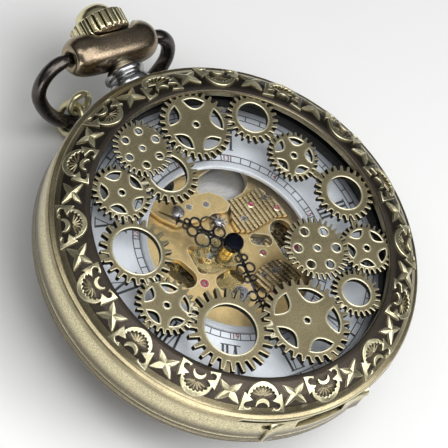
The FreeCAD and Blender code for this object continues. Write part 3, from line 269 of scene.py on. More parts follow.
# ---------------------------------------------------------------- material helpers
def group(name, outputs):
    tree = bpy.data.node_groups.new(name, "ShaderNodeTree")
    for label, kind in outputs:
        tree.interface.new_socket(label, in_out="OUTPUT", socket_type=kind)
    return tree, tree.nodes.new("NodeGroupOutput")


def add_input(tree, label, kind, value):
    socket = tree.interface.new_socket(label, in_out="INPUT", socket_type=kind)
    socket.default_value = value


def noise_node(tree, vector, scale, detail=3.0, rough=0.55):
    node = tree.nodes.new("ShaderNodeTexNoise")
    node.inputs["Scale"].default_value = scale
    node.inputs["Detail"].default_value = detail
    node.inputs["Roughness"].default_value = rough
    tree.links.new(vector, node.inputs["Vector"])
    return node.outputs["Fac"]


def math_node(tree, kind, first, second=None, clamp=False):
    node = tree.nodes.new("ShaderNodeMath")
    node.operation = kind
    node.use_clamp = clamp
    for socket, value in zip(node.inputs, (first, second)):
        if value is None:
            continue
        if isinstance(value, (int, float)):
            socket.default_value = value
        else:
            tree.links.new(value, socket)
    return node.outputs[0]


def band_node(tree, value, first, last, to_low=0.0, to_high=1.0):
    """Maps a stretch of a value onto 0 to 1, smoothly."""
    node = tree.nodes.new("ShaderNodeMapRange")
    node.interpolation_type = "SMOOTHSTEP"
    node.inputs["From Min"].default_value = first
    node.inputs["From Max"].default_value = last
    node.inputs["To Min"].default_value = to_low
    node.inputs["To Max"].default_value = to_high
    tree.links.new(value, node.inputs["Value"])
    return node.outputs["Result"]


def colour_mix(tree, factor, first, second, kind="MIX"):
    node = tree.nodes.new("ShaderNodeMix")
    node.data_type = "RGBA"
    node.blend_type = kind
    sockets = [node.inputs[0], node.inputs[6], node.inputs[7]]
    for socket, value in zip(sockets, (factor, first, second)):
        if isinstance(value, (int, float)):
            socket.default_value = value
        elif isinstance(value, tuple):
            socket.default_value = (*value, 1.0)
        else:
            tree.links.new(value, socket)
    return node.outputs[2]


def grain_group():
    """Shared by the metals: slow tone, fine grain and hairline scratches, in object space."""
    tree, out = group("metal_grain", (("Tone", "NodeSocketFloat"), ("Grain", "NodeSocketFloat"),
                                      ("Scratch", "NodeSocketFloat")))
    where = tree.nodes.new("ShaderNodeTexCoord").outputs["Object"]
    tree.links.new(noise_node(tree, where, 260.0, 4.0), out.inputs["Tone"])
    tree.links.new(noise_node(tree, where, 5200.0, 3.0), out.inputs["Grain"])
    stretch = tree.nodes.new("ShaderNodeMapping")
    stretch.inputs["Scale"].default_value = (1.0, 9.0, 9.0)
    stretch.inputs["Rotation"].default_value = (0.3, 0.2, 0.7)
    tree.links.new(where, stretch.inputs["Vector"])
    tree.links.new(noise_node(tree, stretch.outputs["Vector"], 900.0, 2.0), out.inputs["Scratch"])
    return tree


def wear_group():
    """Shared by the metals and enamels: how far a point lies in a hollow or under nearby parts, which they
    darken with painted shade, and how near a proud edge it is.
    """
    tree, out = group("edge_wear_and_hollow_shade", (("Hollow", "NodeSocketFloat"), ("Edge", "NodeSocketFloat")))
    add_input(tree, "Reach", "NodeSocketFloat", 0.0008)
    add_input(tree, "Edge reach", "NodeSocketFloat", 0.00018)
    inlet = tree.nodes.new("NodeGroupInput")
    hollow = tree.nodes.new("ShaderNodeAmbientOcclusion")
    hollow.samples = 6
    tree.links.new(inlet.outputs["Reach"], hollow.inputs["Distance"])
    edge = tree.nodes.new("ShaderNodeAmbientOcclusion")
    edge.samples = 6
    edge.inside = True
    tree.links.new(inlet.outputs["Edge reach"], edge.inputs["Distance"])
    tree.links.new(band_node(tree, hollow.outputs["AO"], 0.9, 0.35), out.inputs["Hollow"])
    tree.links.new(band_node(tree, edge.outputs["AO"], 0.97, 0.6), out.inputs["Edge"])
    return tree


def use_group(tree, name):
    node = tree.nodes.new("ShaderNodeGroup")
    node.node_tree = bpy.data.node_groups[name]
    return node


def new_material(name):
    material = bpy.data.materials.new(name)
    material.use_nodes = True
    tree = material.node_tree
    shader = tree.nodes["Principled BSDF"]
    return material, tree, shader


def bump(tree, shader, height, distance, strength=0.5):
    node = tree.nodes.new("ShaderNodeBump")
    node.inputs["Strength"].default_value = strength
    node.inputs["Distance"].default_value = distance * MM
    tree.links.new(height, node.inputs["Height"])
    tree.links.new(node.outputs["Normal"], shader.inputs["Normal"])


def metal(name, dark, body, bright, roughness=0.32, edge_reach=0.18, hollow_reach=0.8,
          grain=0.012, spread=0.5, patina=0.45, painted_flank_shade=0.0, painted_sheen_band=None):
    """An aged metal: dark in hollows and under close parts (patina with painted shade), its own colour on
    faces and rubbed bright along edges.
    flank paints shade on upright faces; belt gives the heights of a band of painted highlight."""
    material, tree, shader = new_material(name)
    grains = use_group(tree, "metal_grain")
    wear_and_shade = use_group(tree, "edge_wear_and_hollow_shade")
    wear_and_shade.inputs["Reach"].default_value = hollow_reach * MM
    wear_and_shade.inputs["Edge reach"].default_value = edge_reach * MM
    tone = band_node(tree, grains.outputs["Tone"], 0.5 - spread / 2, 0.5 + spread / 2)
    body_mix = colour_mix(tree, tone, tuple(c * 0.72 for c in body), body)
    spotted = math_node(tree, "MULTIPLY", band_node(tree, grains.outputs["Grain"], 0.42, 0.7), patina)
    body_mix = colour_mix(tree, spotted, body_mix, tuple(c * 0.35 for c in body))
    speck = math_node(tree, "MULTIPLY", band_node(tree, grains.outputs["Scratch"], 0.35, 0.7), 0.35)
    edge = math_node(tree, "MULTIPLY", wear_and_shade.outputs["Edge"],
                     math_node(tree, "ADD", speck, 0.75, clamp=True), clamp=True)
    # painted highlight: a band of heights is coloured bright, mottled by the scratch noise
    if painted_sheen_band:
        split = tree.nodes.new("ShaderNodeSeparateXYZ")
        tree.links.new(tree.nodes.new("ShaderNodeTexCoord").outputs["Object"], split.inputs[0])
        first, last, fall = (z * MM for z in painted_sheen_band)
        painted_sheen = math_node(tree, "MULTIPLY", band_node(tree, split.outputs["Z"], first, last),
                           band_node(tree, split.outputs["Z"], fall, fall - 0.5 * MM))
        mottle = band_node(tree, grains.outputs["Scratch"], 0.38, 0.6, 0.45, 1.0)
        painted_sheen = math_node(tree, "MULTIPLY", painted_sheen, mottle)
        body_mix = colour_mix(tree, painted_sheen, body_mix, bright)
    lit = colour_mix(tree, edge, body_mix, bright)
    # dark in hollows and under close parts: patina with painted shade
    hollow = math_node(tree, "MULTIPLY", wear_and_shade.outputs["Hollow"], 0.92)
    # painted shade: faces that stand upright are darkened towards the dark colour
    if painted_flank_shade:
        split = tree.nodes.new("ShaderNodeSeparateXYZ")
        tree.links.new(tree.nodes.new("ShaderNodeTexCoord").outputs["Normal"], split.inputs[0])
        side = math_node(tree, "MULTIPLY", band_node(tree, split.outputs["Z"], 0.45, 0.1), painted_flank_shade)
        hollow = math_node(tree, "MAXIMUM", hollow, side)
    tree.links.new(colour_mix(tree, hollow, lit, dark), shader.inputs["Base Color"])
    shader.inputs["Metallic"].default_value = 1.0
    rough = math_node(tree, "ADD", math_node(tree, "MULTIPLY", grains.outputs["Scratch"], 0.22),
                      roughness - 0.11)
    rougher = math_node(tree, "ADD", rough, math_node(tree, "MULTIPLY", hollow, 0.25), clamp=True)
    tree.links.new(rougher, shader.inputs["Roughness"])
    bump(tree, shader, grains.outputs["Grain"], grain)
    return material


def striped_metal(name, body, bright, line, angle, pitch=0.42, roughness=0.28):
    """A gilt plate engraved with straight stripes."""
    material, tree, shader = new_material(name)
    grains = use_group(tree, "metal_grain")
    where = tree.nodes.new("ShaderNodeTexCoord").outputs["Object"]
    spin = tree.nodes.new("ShaderNodeMapping")
    spin.inputs["Rotation"].default_value = (0, 0, math.radians(angle))
    tree.links.new(where, spin.inputs["Vector"])
    wave = tree.nodes.new("ShaderNodeTexWave")
    wave.wave_profile = "SIN"
    wave.inputs["Detail"].default_value = 0.0
    wave.inputs["Scale"].default_value = 0.314 / (pitch * MM)
    wave.inputs["Distortion"].default_value = 0.0
    tree.links.new(spin.outputs["Vector"], wave.inputs["Vector"])
    ridge = wave.outputs["Fac"]
    tone = colour_mix(tree, band_node(tree, ridge, 0.0, 0.9), body, bright)
    groove = band_node(tree, ridge, 0.35, 0.05)
    wear_and_shade = use_group(tree, "edge_wear_and_hollow_shade")
    dark = colour_mix(tree, groove, tone, line)
    # darker in hollows and under nearby parts: painted shade
    tree.links.new(colour_mix(tree, wear_and_shade.outputs["Hollow"], dark, tuple(c * 0.35 for c in line)),
                   shader.inputs["Base Color"])
    shader.inputs["Metallic"].default_value = 1.0
    tree.links.new(math_node(tree, "ADD", math_node(tree, "MULTIPLY", grains.outputs["Scratch"], 0.2),
                             roughness - 0.1), shader.inputs["Roughness"])
    bump(tree, shader, ridge, 0.02, 0.4)
    return material


def enamel(name, colour, shade, roughness=0.35, coat=0.4, reach=2.2, depth=0.6):
    """A dial lacquer, faintly mottled, with a fine orange peel and painted shade in hollows and under nearby
    parts.
    """
    material, tree, shader = new_material(name)
    grains = use_group(tree, "metal_grain")
    wear_and_shade = use_group(tree, "edge_wear_and_hollow_shade")
    wear_and_shade.inputs["Reach"].default_value = reach * MM
    tone = colour_mix(tree, band_node(tree, grains.outputs["Tone"], 0.3, 0.7), colour,
                      tuple(c * 0.93 for c in colour))
    # painted shade: the enamel darkens towards its shade colour in hollows and under nearby parts
    veil = math_node(tree, "MULTIPLY", wear_and_shade.outputs["Hollow"], depth)
    tree.links.new(colour_mix(tree, veil, tone, shade), shader.inputs["Base Color"])
    shader.inputs["Roughness"].default_value = roughness
    shader.inputs["Coat Weight"].default_value = coat
    bump(tree, shader, grains.outputs["Grain"], 0.004, 0.3)
    return material


def clear_glass(name, tint=(0.97, 0.99, 1.0)):
    """Thin clear glass: what shows of it grows towards the edge, with a few smears."""
    material, tree, shader = new_material(name)
    shader.inputs["Base Color"].default_value = (*tint, 1.0)
    shader.inputs["Roughness"].default_value = 0.06
    shader.inputs["Transmission Weight"].default_value = 1.0
    grains = use_group(tree, "metal_grain")
    facing = tree.nodes.new("ShaderNodeLayerWeight")
    facing.inputs["Blend"].default_value = 0.25
    veil = math_node(tree, "MULTIPLY", facing.outputs["Fresnel"],
                     math_node(tree, "MULTIPLY", grains.outputs["Tone"], 0.5))
    tree.links.new(math_node(tree, "ADD", veil, 0.04, clamp=True), shader.inputs["Alpha"])
    return material


def make_materials():
    grain_group()
    wear_group()
    m = {}
    m["bronze"] = metal("antique_bronze", (0.025, 0.02, 0.014), (0.46, 0.39, 0.235), (0.97, 0.90, 0.64),
                        0.32, 0.3, 0.9, patina=0.6)
    # the case bronze is dark, with a painted highlight band round its wall at heights 4.9 to 8.5 mm
    m["case"] = metal("case_bronze_painted_sheen", (0.02, 0.016, 0.012), (0.17, 0.14, 0.10), (0.80, 0.72, 0.46),
                      0.30, 0.3, 0.9, patina=0.7, painted_sheen_band=(4.9, 7.0, 8.5))
    m["field"] = metal("relief_field", (0.012, 0.01, 0.009), (0.075, 0.062, 0.05), (0.62, 0.54, 0.34),
                       0.40, 0.12, 1.2)
    m["relief"] = metal("relief_tops", (0.05, 0.04, 0.02), (0.74, 0.67, 0.43), (1.0, 0.95, 0.70),
                        0.33, 0.16, 0.3, painted_flank_shade=0.6)
    m["gear"] = metal("openwork_gears", (0.016, 0.013, 0.008), (0.33, 0.28, 0.165), (0.97, 0.91, 0.66),
                      0.36, 0.16, 0.45, painted_flank_shade=0.9)
    m["dark"] = metal("dark_bronze", (0.012, 0.010, 0.009), (0.105, 0.092, 0.085), (0.46, 0.41, 0.36),
                      0.26, 0.3, 0.9)
    m["bulb"] = metal("pendant_bronze", (0.02, 0.016, 0.014), (0.34, 0.265, 0.185), (0.9, 0.78, 0.52),
                      0.24, 0.6, 0.8, spread=0.3, patina=0.7)
    m["brass"] = metal("pale_brass", (0.07, 0.05, 0.02), (0.84, 0.76, 0.47), (1.0, 0.96, 0.74), 0.22,
                       0.14, 0.3, patina=0.25)
    m["link"] = metal("link_brass", (0.16, 0.13, 0.06), (0.86, 0.79, 0.50), (1.0, 0.95, 0.7), 0.34, 0.2, 0.3,
                      patina=0.15)
    m["steel"] = metal("polished_steel", (0.04, 0.04, 0.045), (0.50, 0.50, 0.51), (0.9, 0.9, 0.9), 0.2,
                       0.15, 0.4)
    m["blued"] = metal("blued_steel", (0.004, 0.005, 0.009), (0.02, 0.022, 0.03), (0.14, 0.16, 0.2), 0.22,
                       0.05, 0.5)
    m["gilt"] = metal("gilt_plate", (0.07, 0.035, 0.01), (0.92, 0.69, 0.33), (1.0, 0.93, 0.66), 0.36, 0.2,
                      0.7,
                      grain=0.02, patina=0.25)
    m["gilt_wheel"] = metal("gilt_wheel", (0.2, 0.12, 0.03), (0.86, 0.66, 0.28), (1.0, 0.93, 0.62), 0.24,
                            0.12, 0.22)
    m["stripes"] = striped_metal("striped_gilt", (0.42, 0.29, 0.13), (0.98, 0.80, 0.45),
                                 (0.08, 0.05, 0.02), -9.0, 0.62)
    m["stripes_low"] = striped_metal("striped_gilt_low", (0.38, 0.26, 0.12), (0.86, 0.68, 0.38),
                                     (0.08, 0.05, 0.02), -22.0, 0.62)
    m["barrel"] = metal("barrel_steel", (0.04, 0.04, 0.045), (0.34, 0.35, 0.36), (0.8, 0.8, 0.8), 0.34,
                        0.2, 1.4)
    m["spacer_and_bezel_shade"] = metal("spacer_ring_and_bezel_shade", (0.01, 0.01, 0.01), (0.055, 0.052, 0.05), (0.25, 0.24, 0.22), 0.5,
                        0.15, 0.9)
    # the dial's near-black shade colour is painted shade where the lid, gears and rim crowd over it
    m["dial"] = enamel("dial_enamel", (0.86, 0.91, 0.97), (0.02, 0.022, 0.03), 0.3, 0.5, 1.8, 0.8)
    m["ink"] = enamel("dial_black", (0.012, 0.012, 0.016), (0.004, 0.004, 0.004), 0.4, 0.2)
    m["red"] = enamel("dial_red", (0.46, 0.045, 0.05), (0.1, 0.01, 0.01), 0.4, 0.2)
    m["ruby"] = enamel("ruby_jewel", (0.36, 0.03, 0.09), (0.08, 0.0, 0.01), 0.08, 1.0)
    m["glass"] = clear_glass("watch_glass")
    return m


# ---------------------------------------------------------------- the frame and its measures
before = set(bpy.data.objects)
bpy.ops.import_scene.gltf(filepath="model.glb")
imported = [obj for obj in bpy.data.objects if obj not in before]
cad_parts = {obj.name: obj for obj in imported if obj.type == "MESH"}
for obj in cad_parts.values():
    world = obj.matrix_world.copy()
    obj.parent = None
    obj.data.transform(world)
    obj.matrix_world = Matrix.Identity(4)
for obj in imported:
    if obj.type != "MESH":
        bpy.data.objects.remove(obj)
CAD_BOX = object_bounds()

LID_TOP = high("lid_rim").z
GEAR_LOW, GEAR_TOP = low("lid_gearwork").z, high("lid_gearwork").z
DIAL_FACE = high("dial").z - 0.2
STEM_Z = middle("crown").z
OPENING = 18.9
BULB_Y = 29.58
BULB_TWIST = math.radians(6.9)

MATERIALS = {}


def finish_piece(piece, body, finish, *nodes):
    """Rides a finished piece on its body and hides the CAD nodes it stands for; its finish is not used."""
    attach(piece, body)
    if nodes:
        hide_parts(*nodes)
    return piece


def paint(finish, *nodes):
    """Gives CAD nodes that stay visible their finish."""
    for name in nodes:
        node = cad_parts[name]
        node.data.materials.clear()
        node.data.materials.append(MATERIALS[finish])


# ---------------------------------------------------------------- lid
# The lid ring's section: (radius, depth below its top), outside then underside.
LID_SECTION = ((18.9, 1.15), (18.9, 0.2), (19.05, 0.0), (19.7, 0.0), (20.5, 0.25), (21.3, 0.6),
               (22.3, 1.3), (22.8, 1.8), (22.95, 2.0), (22.9, 2.1), (23.4, 2.25), (23.6, 2.7),
               (23.52, 3.25), (22.4, 3.25), (22.4, 2.4), (21.9, 1.75), (21.1, 1.13),
               (19.55, 0.95), (19.55, 1.15))
FIELD_IN, FIELD_OUT = 18.95, 22.3
STRIP_MIDDLE = 21.35
KNUCKLE, KNUCKLE_ENDS = 0.8, (-3.5, 3.3)


def lid_height(radius):
    """The height of the lid's outer surface at a radius."""
    outside = [(r, d) for r, d in LID_SECTION[1:9]]
    for (r0, d0), (r1, d1) in zip(outside, outside[1:]):
        if r0 <= radius <= r1:
            return LID_TOP - (d0 + (d1 - d0) * (radius - r0) / (r1 - r0))
    return LID_TOP - outside[-1][1]


def strip_radius(strip):
    """From a place across the flat ornament strip to the radius that it takes on the rim."""
    return 20.5 + (strip - 20.44) * (0.736 if strip > 20.44 else 0.86)


def on_rim(strip, along, lift, azimuth):
    """A point of the ornament strip laid on the sloped rim, lifted off it."""
    radius = strip_radius(strip)
    angle = math.radians(azimuth) + along / 21.0
    slope = lid_height(radius + 0.15) - lid_height(radius - 0.15)
    tilt = math.atan2(slope, 0.3)
    out = radius - math.sin(tilt) * lift
    return (out * math.cos(angle), out * math.sin(angle), lid_height(radius) + math.cos(tilt) * lift)


def lay_on_rim(piece, azimuth, flip=False):
    """Bends a flat ornament on to the rim.  The strip's across is x and its along is y."""
    for vertex in piece.data.vertices:
        x, y, z = vertex.co / MM
        across = 2 * STRIP_MIDDLE - x if flip else x
        vertex.co = Vector(on_rim(across, y, z, azimuth)) * MM
    if flip:
        piece.data.flip_normals()
    piece.data.update()
    return piece


def star(name, arm, waist, peak, edge, material, swing=45.0):
    """A four-pointed star with a ridge along each point."""
    vertices, faces = [(STRIP_MIDDLE, 0.0, peak)], []
    rows = ((1.0, edge), (1.08, -0.12))
    steps = 6
    for grow, height in rows:
        for k in range(4):
            for j in range(steps):
                t = j / steps
                bend = (1 - t) ** 4 + t ** 4
                reach = waist + (arm - waist) * (0.94 * bend + 0.06 * abs(1 - 2 * t))
                x, y = turn_point((reach * grow, 0), swing + 90.0 * (k + t), STRIP_MIDDLE, 0.0)
                vertices.append((x, y, height))
    count = 4 * steps
    for i in range(count):
        j = (i + 1) % count
        faces.append((0, 1 + i, 1 + j))
        faces.append((1 + i, 1 + count + i, 1 + count + j, 1 + j))
    return sharpen(add_mesh(name, vertices, faces, material), 18.0)


def toothed_arc(outer, inner, teeth, span, taper):
    """An arch with small teeth along its inside, thinner towards its ends."""
    loop = []
    for angle in range(-span, span + 1, 6):
        loop.append(turn_point((outer, 0), angle, STRIP_MIDDLE, 0.0))
    steps = teeth * 4
    for k in range(steps + 1):
        angle = span - 2 * span * k / steps
        thin = taper * abs(angle / span) ** 2
        notch = 0.17 if k % 4 in (1, 2) else 0.0
        loop.append(turn_point((inner + notch + thin, 0), angle, STRIP_MIDDLE, 0.0))
    return loop


def wing(side):
    """A corner piece beside the crescent, with a round bite on its inner edge."""
    loop = [(21.75, 2.35), (19.3, 2.7), (19.5, 1.15)]
    for k in range(7):
        loop.append(turn_point((0.42, 0), 240.0 - 40.0 * k, 20.05, 1.75))
    loop.append((20.75, 1.15))
    return [(x, y * side) for x, y in (loop if side > 0 else loop[::-1])]


def crescent():
    loop = [turn_point((0.85, 0), a, 20.2, 0.0) for a in range(-100, 101, 10)]
    loop += [turn_point((0.72, 0), a, 19.75, 0.0) for a in range(80, -81, -10)]
    return loop


def fan(name, material, field):
    """One fan of the rim: a toothed arch, two wings, a crescent and thin ribs between."""
    parts = [plate("arch", [toothed_arc(1.98, 1.2, 9, 96, 0.35)], -0.15, 0.34, material, 0.1),
             plate("wing_a", [wing(1)], -0.15, 0.32, material, 0.09),
             plate("wing_b", [wing(-1)], -0.15, 0.32, material, 0.09),
             plate("crescent", [crescent()], -0.15, 0.36, material, 0.09)]
    for k in range(-3, 4):
        ends = [turn_point((r, 0), k * 24.0, STRIP_MIDDLE, 0.0) for r in (0.2, 1.25)]
        parts.append(tube("rib", [(x, y, 0.0) for x, y in ends], 0.07, field, sides=6))
    return join(name, parts)


def spread_rim(name, make, azimuths, flips, material):
    """Lays copies of one ornament round the rim and joins them."""
    first = make()
    pieces = []
    for azimuth, flip in zip(azimuths, flips):
        copy = bpy.data.objects.new(name + "_one", first.data.copy())
        bpy.context.collection.objects.link(copy)
        pieces.append(lay_on_rim(copy, azimuth, flip))
    bpy.data.objects.remove(first)
    return join(name, pieces)


def span_materials(piece, material, chosen):
    """Adds a second finish to the faces that chosen(radius, height) picks."""
    piece.data.materials.append(material)
    index = len(piece.data.materials) - 1
    for face in piece.data.polygons:
        centre = face.center / MM
        if chosen(math.hypot(centre.x, centre.y), centre.z):
            face.material_index = index


def lid_section_warp(angle, radius, height):
    """The skirt stops short at the foot of the lid, to clear the hinge."""
    if height < LID_TOP - 2.55 and radius > 22.0:
        from_foot = abs((math.degrees(angle) - 270.0 + 180.0) % 360.0 - 180.0)
        if from_foot < math.degrees(math.asin(11.0 / 23.6)):
            height = max(height, LID_TOP - 2.55)
    return radius, height


def build_lid_ring():
    section = rounded([(r, LID_TOP - d) for r, d in LID_SECTION], 0.14)
    ring = lathe("lid_ring", section, MATERIALS["bronze"], 288, lid_section_warp)
    span_materials(ring, MATERIALS["field"],
                   lambda r, z: FIELD_IN < r < FIELD_OUT and z > lid_height(r) - 0.15)
    pin, (left, right) = middle("hinge_pin"), KNUCKLE_ENDS
    hinge_y, hinge_z = pin.y, pin.z
    barrel_section = rounded([(0.53, left), (KNUCKLE, left), (KNUCKLE, right), (0.53, right)], 0.1)
    knuckle = lathe("knuckle", barrel_section, MATERIALS["bronze"], 48)
    move(knuckle, Matrix.Translation(Vector((0, hinge_y, hinge_z)) * MM) @ Matrix.Rotation(math.pi / 2, 4,
                                                                                           "Y"))
    inner, outer = hinge_y + KNUCKLE - 0.1, hinge_y + 0.1
    arm = plate("arm", [[(left, inner), (left, outer), (right, outer), (right, inner)]], hinge_z + 0.2,
                LID_TOP - 1.6, MATERIALS["bronze"], 0.08)
    whole = join("lid_ring", [ring, knuckle, arm])
    finish_piece(whole, "lid", "bronze", "lid_rim")


def build_ornament():
    steps = [22.5 * k for k in range(16)]
    stars = spread_rim("rim_stars", lambda: star("star", 1.85, 0.46, 0.42, 0.2, MATERIALS["relief"]),
                       [a + 11.25 for a in steps], [False] * 16, MATERIALS["relief"])
    fans = spread_rim("rim_fans", lambda: fan("fan", MATERIALS["relief"], MATERIALS["field"]),
                      steps, [bool(k % 2) for k in range(16)], MATERIALS["relief"])
    for piece in (stars, fans):
        finish_piece(piece, "lid", "relief")


# x, y, tip radius, root radius, teeth, kind of middle, and its angle or opening.
LID_GEARS = (
    ("top", 1.93, 14.77, 4.6, 3.95, 30, "star", -77.0),
    ("top_right", 9.4, 13.27, 3.25, 2.65, 22, "ring", 2.03),
    ("right_high", 11.9, 7.0, 3.25, 2.75, 26, "star", -91.6),
    ("right", 15.6, 0.4, 3.7, 3.05, 24, "ring", 2.25),
    ("right_low", 14.5, -7.07, 3.4, 2.85, 28, "star", 26.0),
    ("low_right", 10.17, -11.83, 3.1, 2.5, 24, "ring", 1.83),
    ("foot", 2.23, -12.9, 5.5, 4.75, 28, "star", 53.0),
    ("low_left", -7.6, -10.67, 5.5, 4.25, 24, "ring", 3.37),
    ("left_low", -13.67, -5.17, 3.8, 3.2, 26, "star", 54.0),
    ("left", -13.73, 2.33, 4.5, 3.65, 22, "ring", 3.1),
    ("left_high", -11.67, 9.77, 3.75, 3.15, 26, "star", 87.0),
    ("high", -4.77, 10.17, 3.9, 3.15, 24, "ring", 2.5))
UPPER_PLATES = (
    ("lid_plate_low", 8.1, -5.07, 4.15, 3.45, 34, 0.6, 2.5, 41.0, 0.45),
    ("lid_plate_high", -6.5, 14.0, 3.75, 3.1, 30, 0.5, 2.25, 14.0, 0.4))


def inside_opening(loop, limit=18.98):
    kept = []
    for x, y in loop:
        reach = math.hypot(x, y)
        kept.append((x, y) if reach < limit else (x * limit / reach, y * limit / reach))
    return kept


def raised_edge(loop, height, material, radius=0.1):
    return tube("edge", [(x, y, height) for x, y in loop], radius, material, closed=True, sides=10)


def lid_gear(name, x, y, tip, root, teeth, kind, detail, phase):
    """One wheel of the openwork: five windows or one wide opening, each with a raised edge."""
    gear, edge = MATERIALS["gear"], MATERIALS["gear"]
    outline = inside_opening(gear_loop(teeth, tip, root, phase, x, y))
    if kind == "star":
        windows = [lens_loop(root, detail + 72.0 * k, x, y) for k in range(5)]
        windows.append(ring_points(0.45, 20, x, y))
    else:
        windows = [ring_points(detail, 64, x, y)]
    parts = [plate("blank", [outline] + windows, GEAR_LOW, GEAR_TOP - 0.04, gear, 0.09)]
    for window in windows:
        parts.append(raised_edge(window, GEAR_TOP - 0.05, edge, 0.1))
    return parts


def bar(name, first, last, half, bottom, top, material):
    """A short cast bar between two points."""
    a, b = Vector(first), Vector(last)
    side = (b - a).normalized().orthogonal() * half
    loop = [tuple(a + side), tuple(a - side), tuple(b - side), tuple(b + side)]
    return plate(name, [loop], bottom, top, material, 0.06, 1)


def build_gearwork():
    gear = MATERIALS["gear"]
    parts = []
    for k, (name, x, y, tip, root, teeth, kind, detail) in enumerate(LID_GEARS):
        parts += lid_gear(name, x, y, tip, root, teeth, kind, detail, 7.0 * k)
        to_rim = Vector((x, y))
        if to_rim.length + tip > OPENING - 0.7:
            start = to_rim.normalized() * (to_rim.length + root - 0.3)
            parts.append(bar("rim_joint", tuple(start), tuple(to_rim.normalized() * (OPENING + 0.2)), 0.5,
                             GEAR_LOW + 0.05, GEAR_TOP - 0.3, gear))
        after = LID_GEARS[(k + 1) % len(LID_GEARS)]
        there = Vector((after[1], after[2]))
        way = (there - to_rim).normalized()
        start, end = to_rim + way * (root - 0.3), there - way * (after[4] - 0.3)
        parts.append(bar("gear_joint", tuple(start), tuple(end), 0.45, GEAR_LOW + 0.05, GEAR_TOP - 0.35,
                         gear))
    finish_piece(join("openwork", parts), "lid", "gear", "lid_gearwork")
    for name, x, y, tip, root, teeth, hole, reach, first, eye in UPPER_PLATES:
        bottom, top = low(name).z, high(name).z
        outline = inside_opening(gear_loop(teeth, tip, root, 0.0, x, y))
        holes = [ring_points(hole, 28, *turn_point((reach, 0), first + 60.0 * k, x, y)) for k in range(6)]
        holes.append(ring_points(eye, 24, x, y))
        pieces = [plate("disc", [outline] + holes, bottom, top - 0.03, gear, 0.08)]
        for loop in holes:
            pieces.append(raised_edge(loop, top - 0.06, gear, 0.09))
        finish_piece(join(name + "_disc", pieces), "lid", "gear", name)


# ---------------------------------------------------------------- dial
ROMAN = ("XII", "I", "II", "III", "IIII", "V", "VI", "VII", "VIII", "IX", "X", "XI")


def prism(loop, bottom, top, material, name="print"):
    """A thin flat shape with straight sides, from an outline that doesn't cross itself."""
    count = len(loop)
    vertices = [(x, y, bottom) for x, y in loop] + [(x, y, top) for x, y in loop]
    faces = [tuple(range(count))[::-1], tuple(range(count, 2 * count))]
    faces += [(i, (i + 1) % count, count + (i + 1) % count, count + i) for i in range(count)]
    return add_mesh(name, vertices, faces, material, smooth=False)


def flat_ring(inner, outer, bottom, top, material):
    """A printed circle."""
    return lathe("ring", [(inner, bottom), (outer, bottom), (outer, top), (inner, top)], material, 180)


def roman_strokes(text, height, pitch=0.92):
    """Strokes of a Roman numeral about its own middle: heavy and fine legs with flat serifs."""
    widths = {"I": 0.62, "V": 1.5, "X": 1.6}
    total = sum(widths[c] for c in text) * pitch
    x = -total / 2
    strokes = []
    serif = 0.11

    def leg(bottom_x, top_x, weight):
        strokes.append([(bottom_x - weight / 2, -height / 2), (bottom_x + weight / 2, -height / 2),
                        (top_x + weight / 2, height / 2), (top_x - weight / 2, height / 2)])

    for c in text:
        wide = widths[c] * pitch
        left, mid, right = x + 0.16, x + wide / 2, x + wide - 0.16
        if c == "I":
            leg(mid, mid, 0.27)
        elif c == "V":
            leg(mid, left, 0.29)
            leg(mid, right, 0.1)
        else:
            leg(right, left, 0.29)
            leg(left, right, 0.1)
        x += wide
    for level in (-height / 2, height / 2):
        strokes.append([(-total / 2, level - serif / 2), (total / 2, level - serif / 2),
                        (total / 2, level + serif / 2), (-total / 2, level + serif / 2)])
    return strokes


def digits(text, size, material, at, angle):
    """A small printed number, centred on a point of the dial."""
    curve = bpy.data.curves.new("digits", "FONT")
    curve.body = text
    curve.size = size * MM
    curve.align_x, curve.align_y = "CENTER", "CENTER"
    curve.extrude = 0.012 * MM
    label = bpy.data.objects.new("digits", curve)
    bpy.context.collection.objects.link(label)
    mesh = bpy.data.meshes.new_from_object(label.evaluated_get(bpy.context.evaluated_depsgraph_get()))
    bpy.data.objects.remove(label)
    mesh.transform(Matrix.Translation(Vector((*at, DIAL_FACE + 0.012)) * MM)
                   @ Matrix.Rotation(math.radians(angle), 4, "Z"))
    mesh.materials.clear()
    mesh.materials.append(material)
    piece = bpy.data.objects.new("digits", mesh)
    bpy.context.collection.objects.link(piece)
    return piece


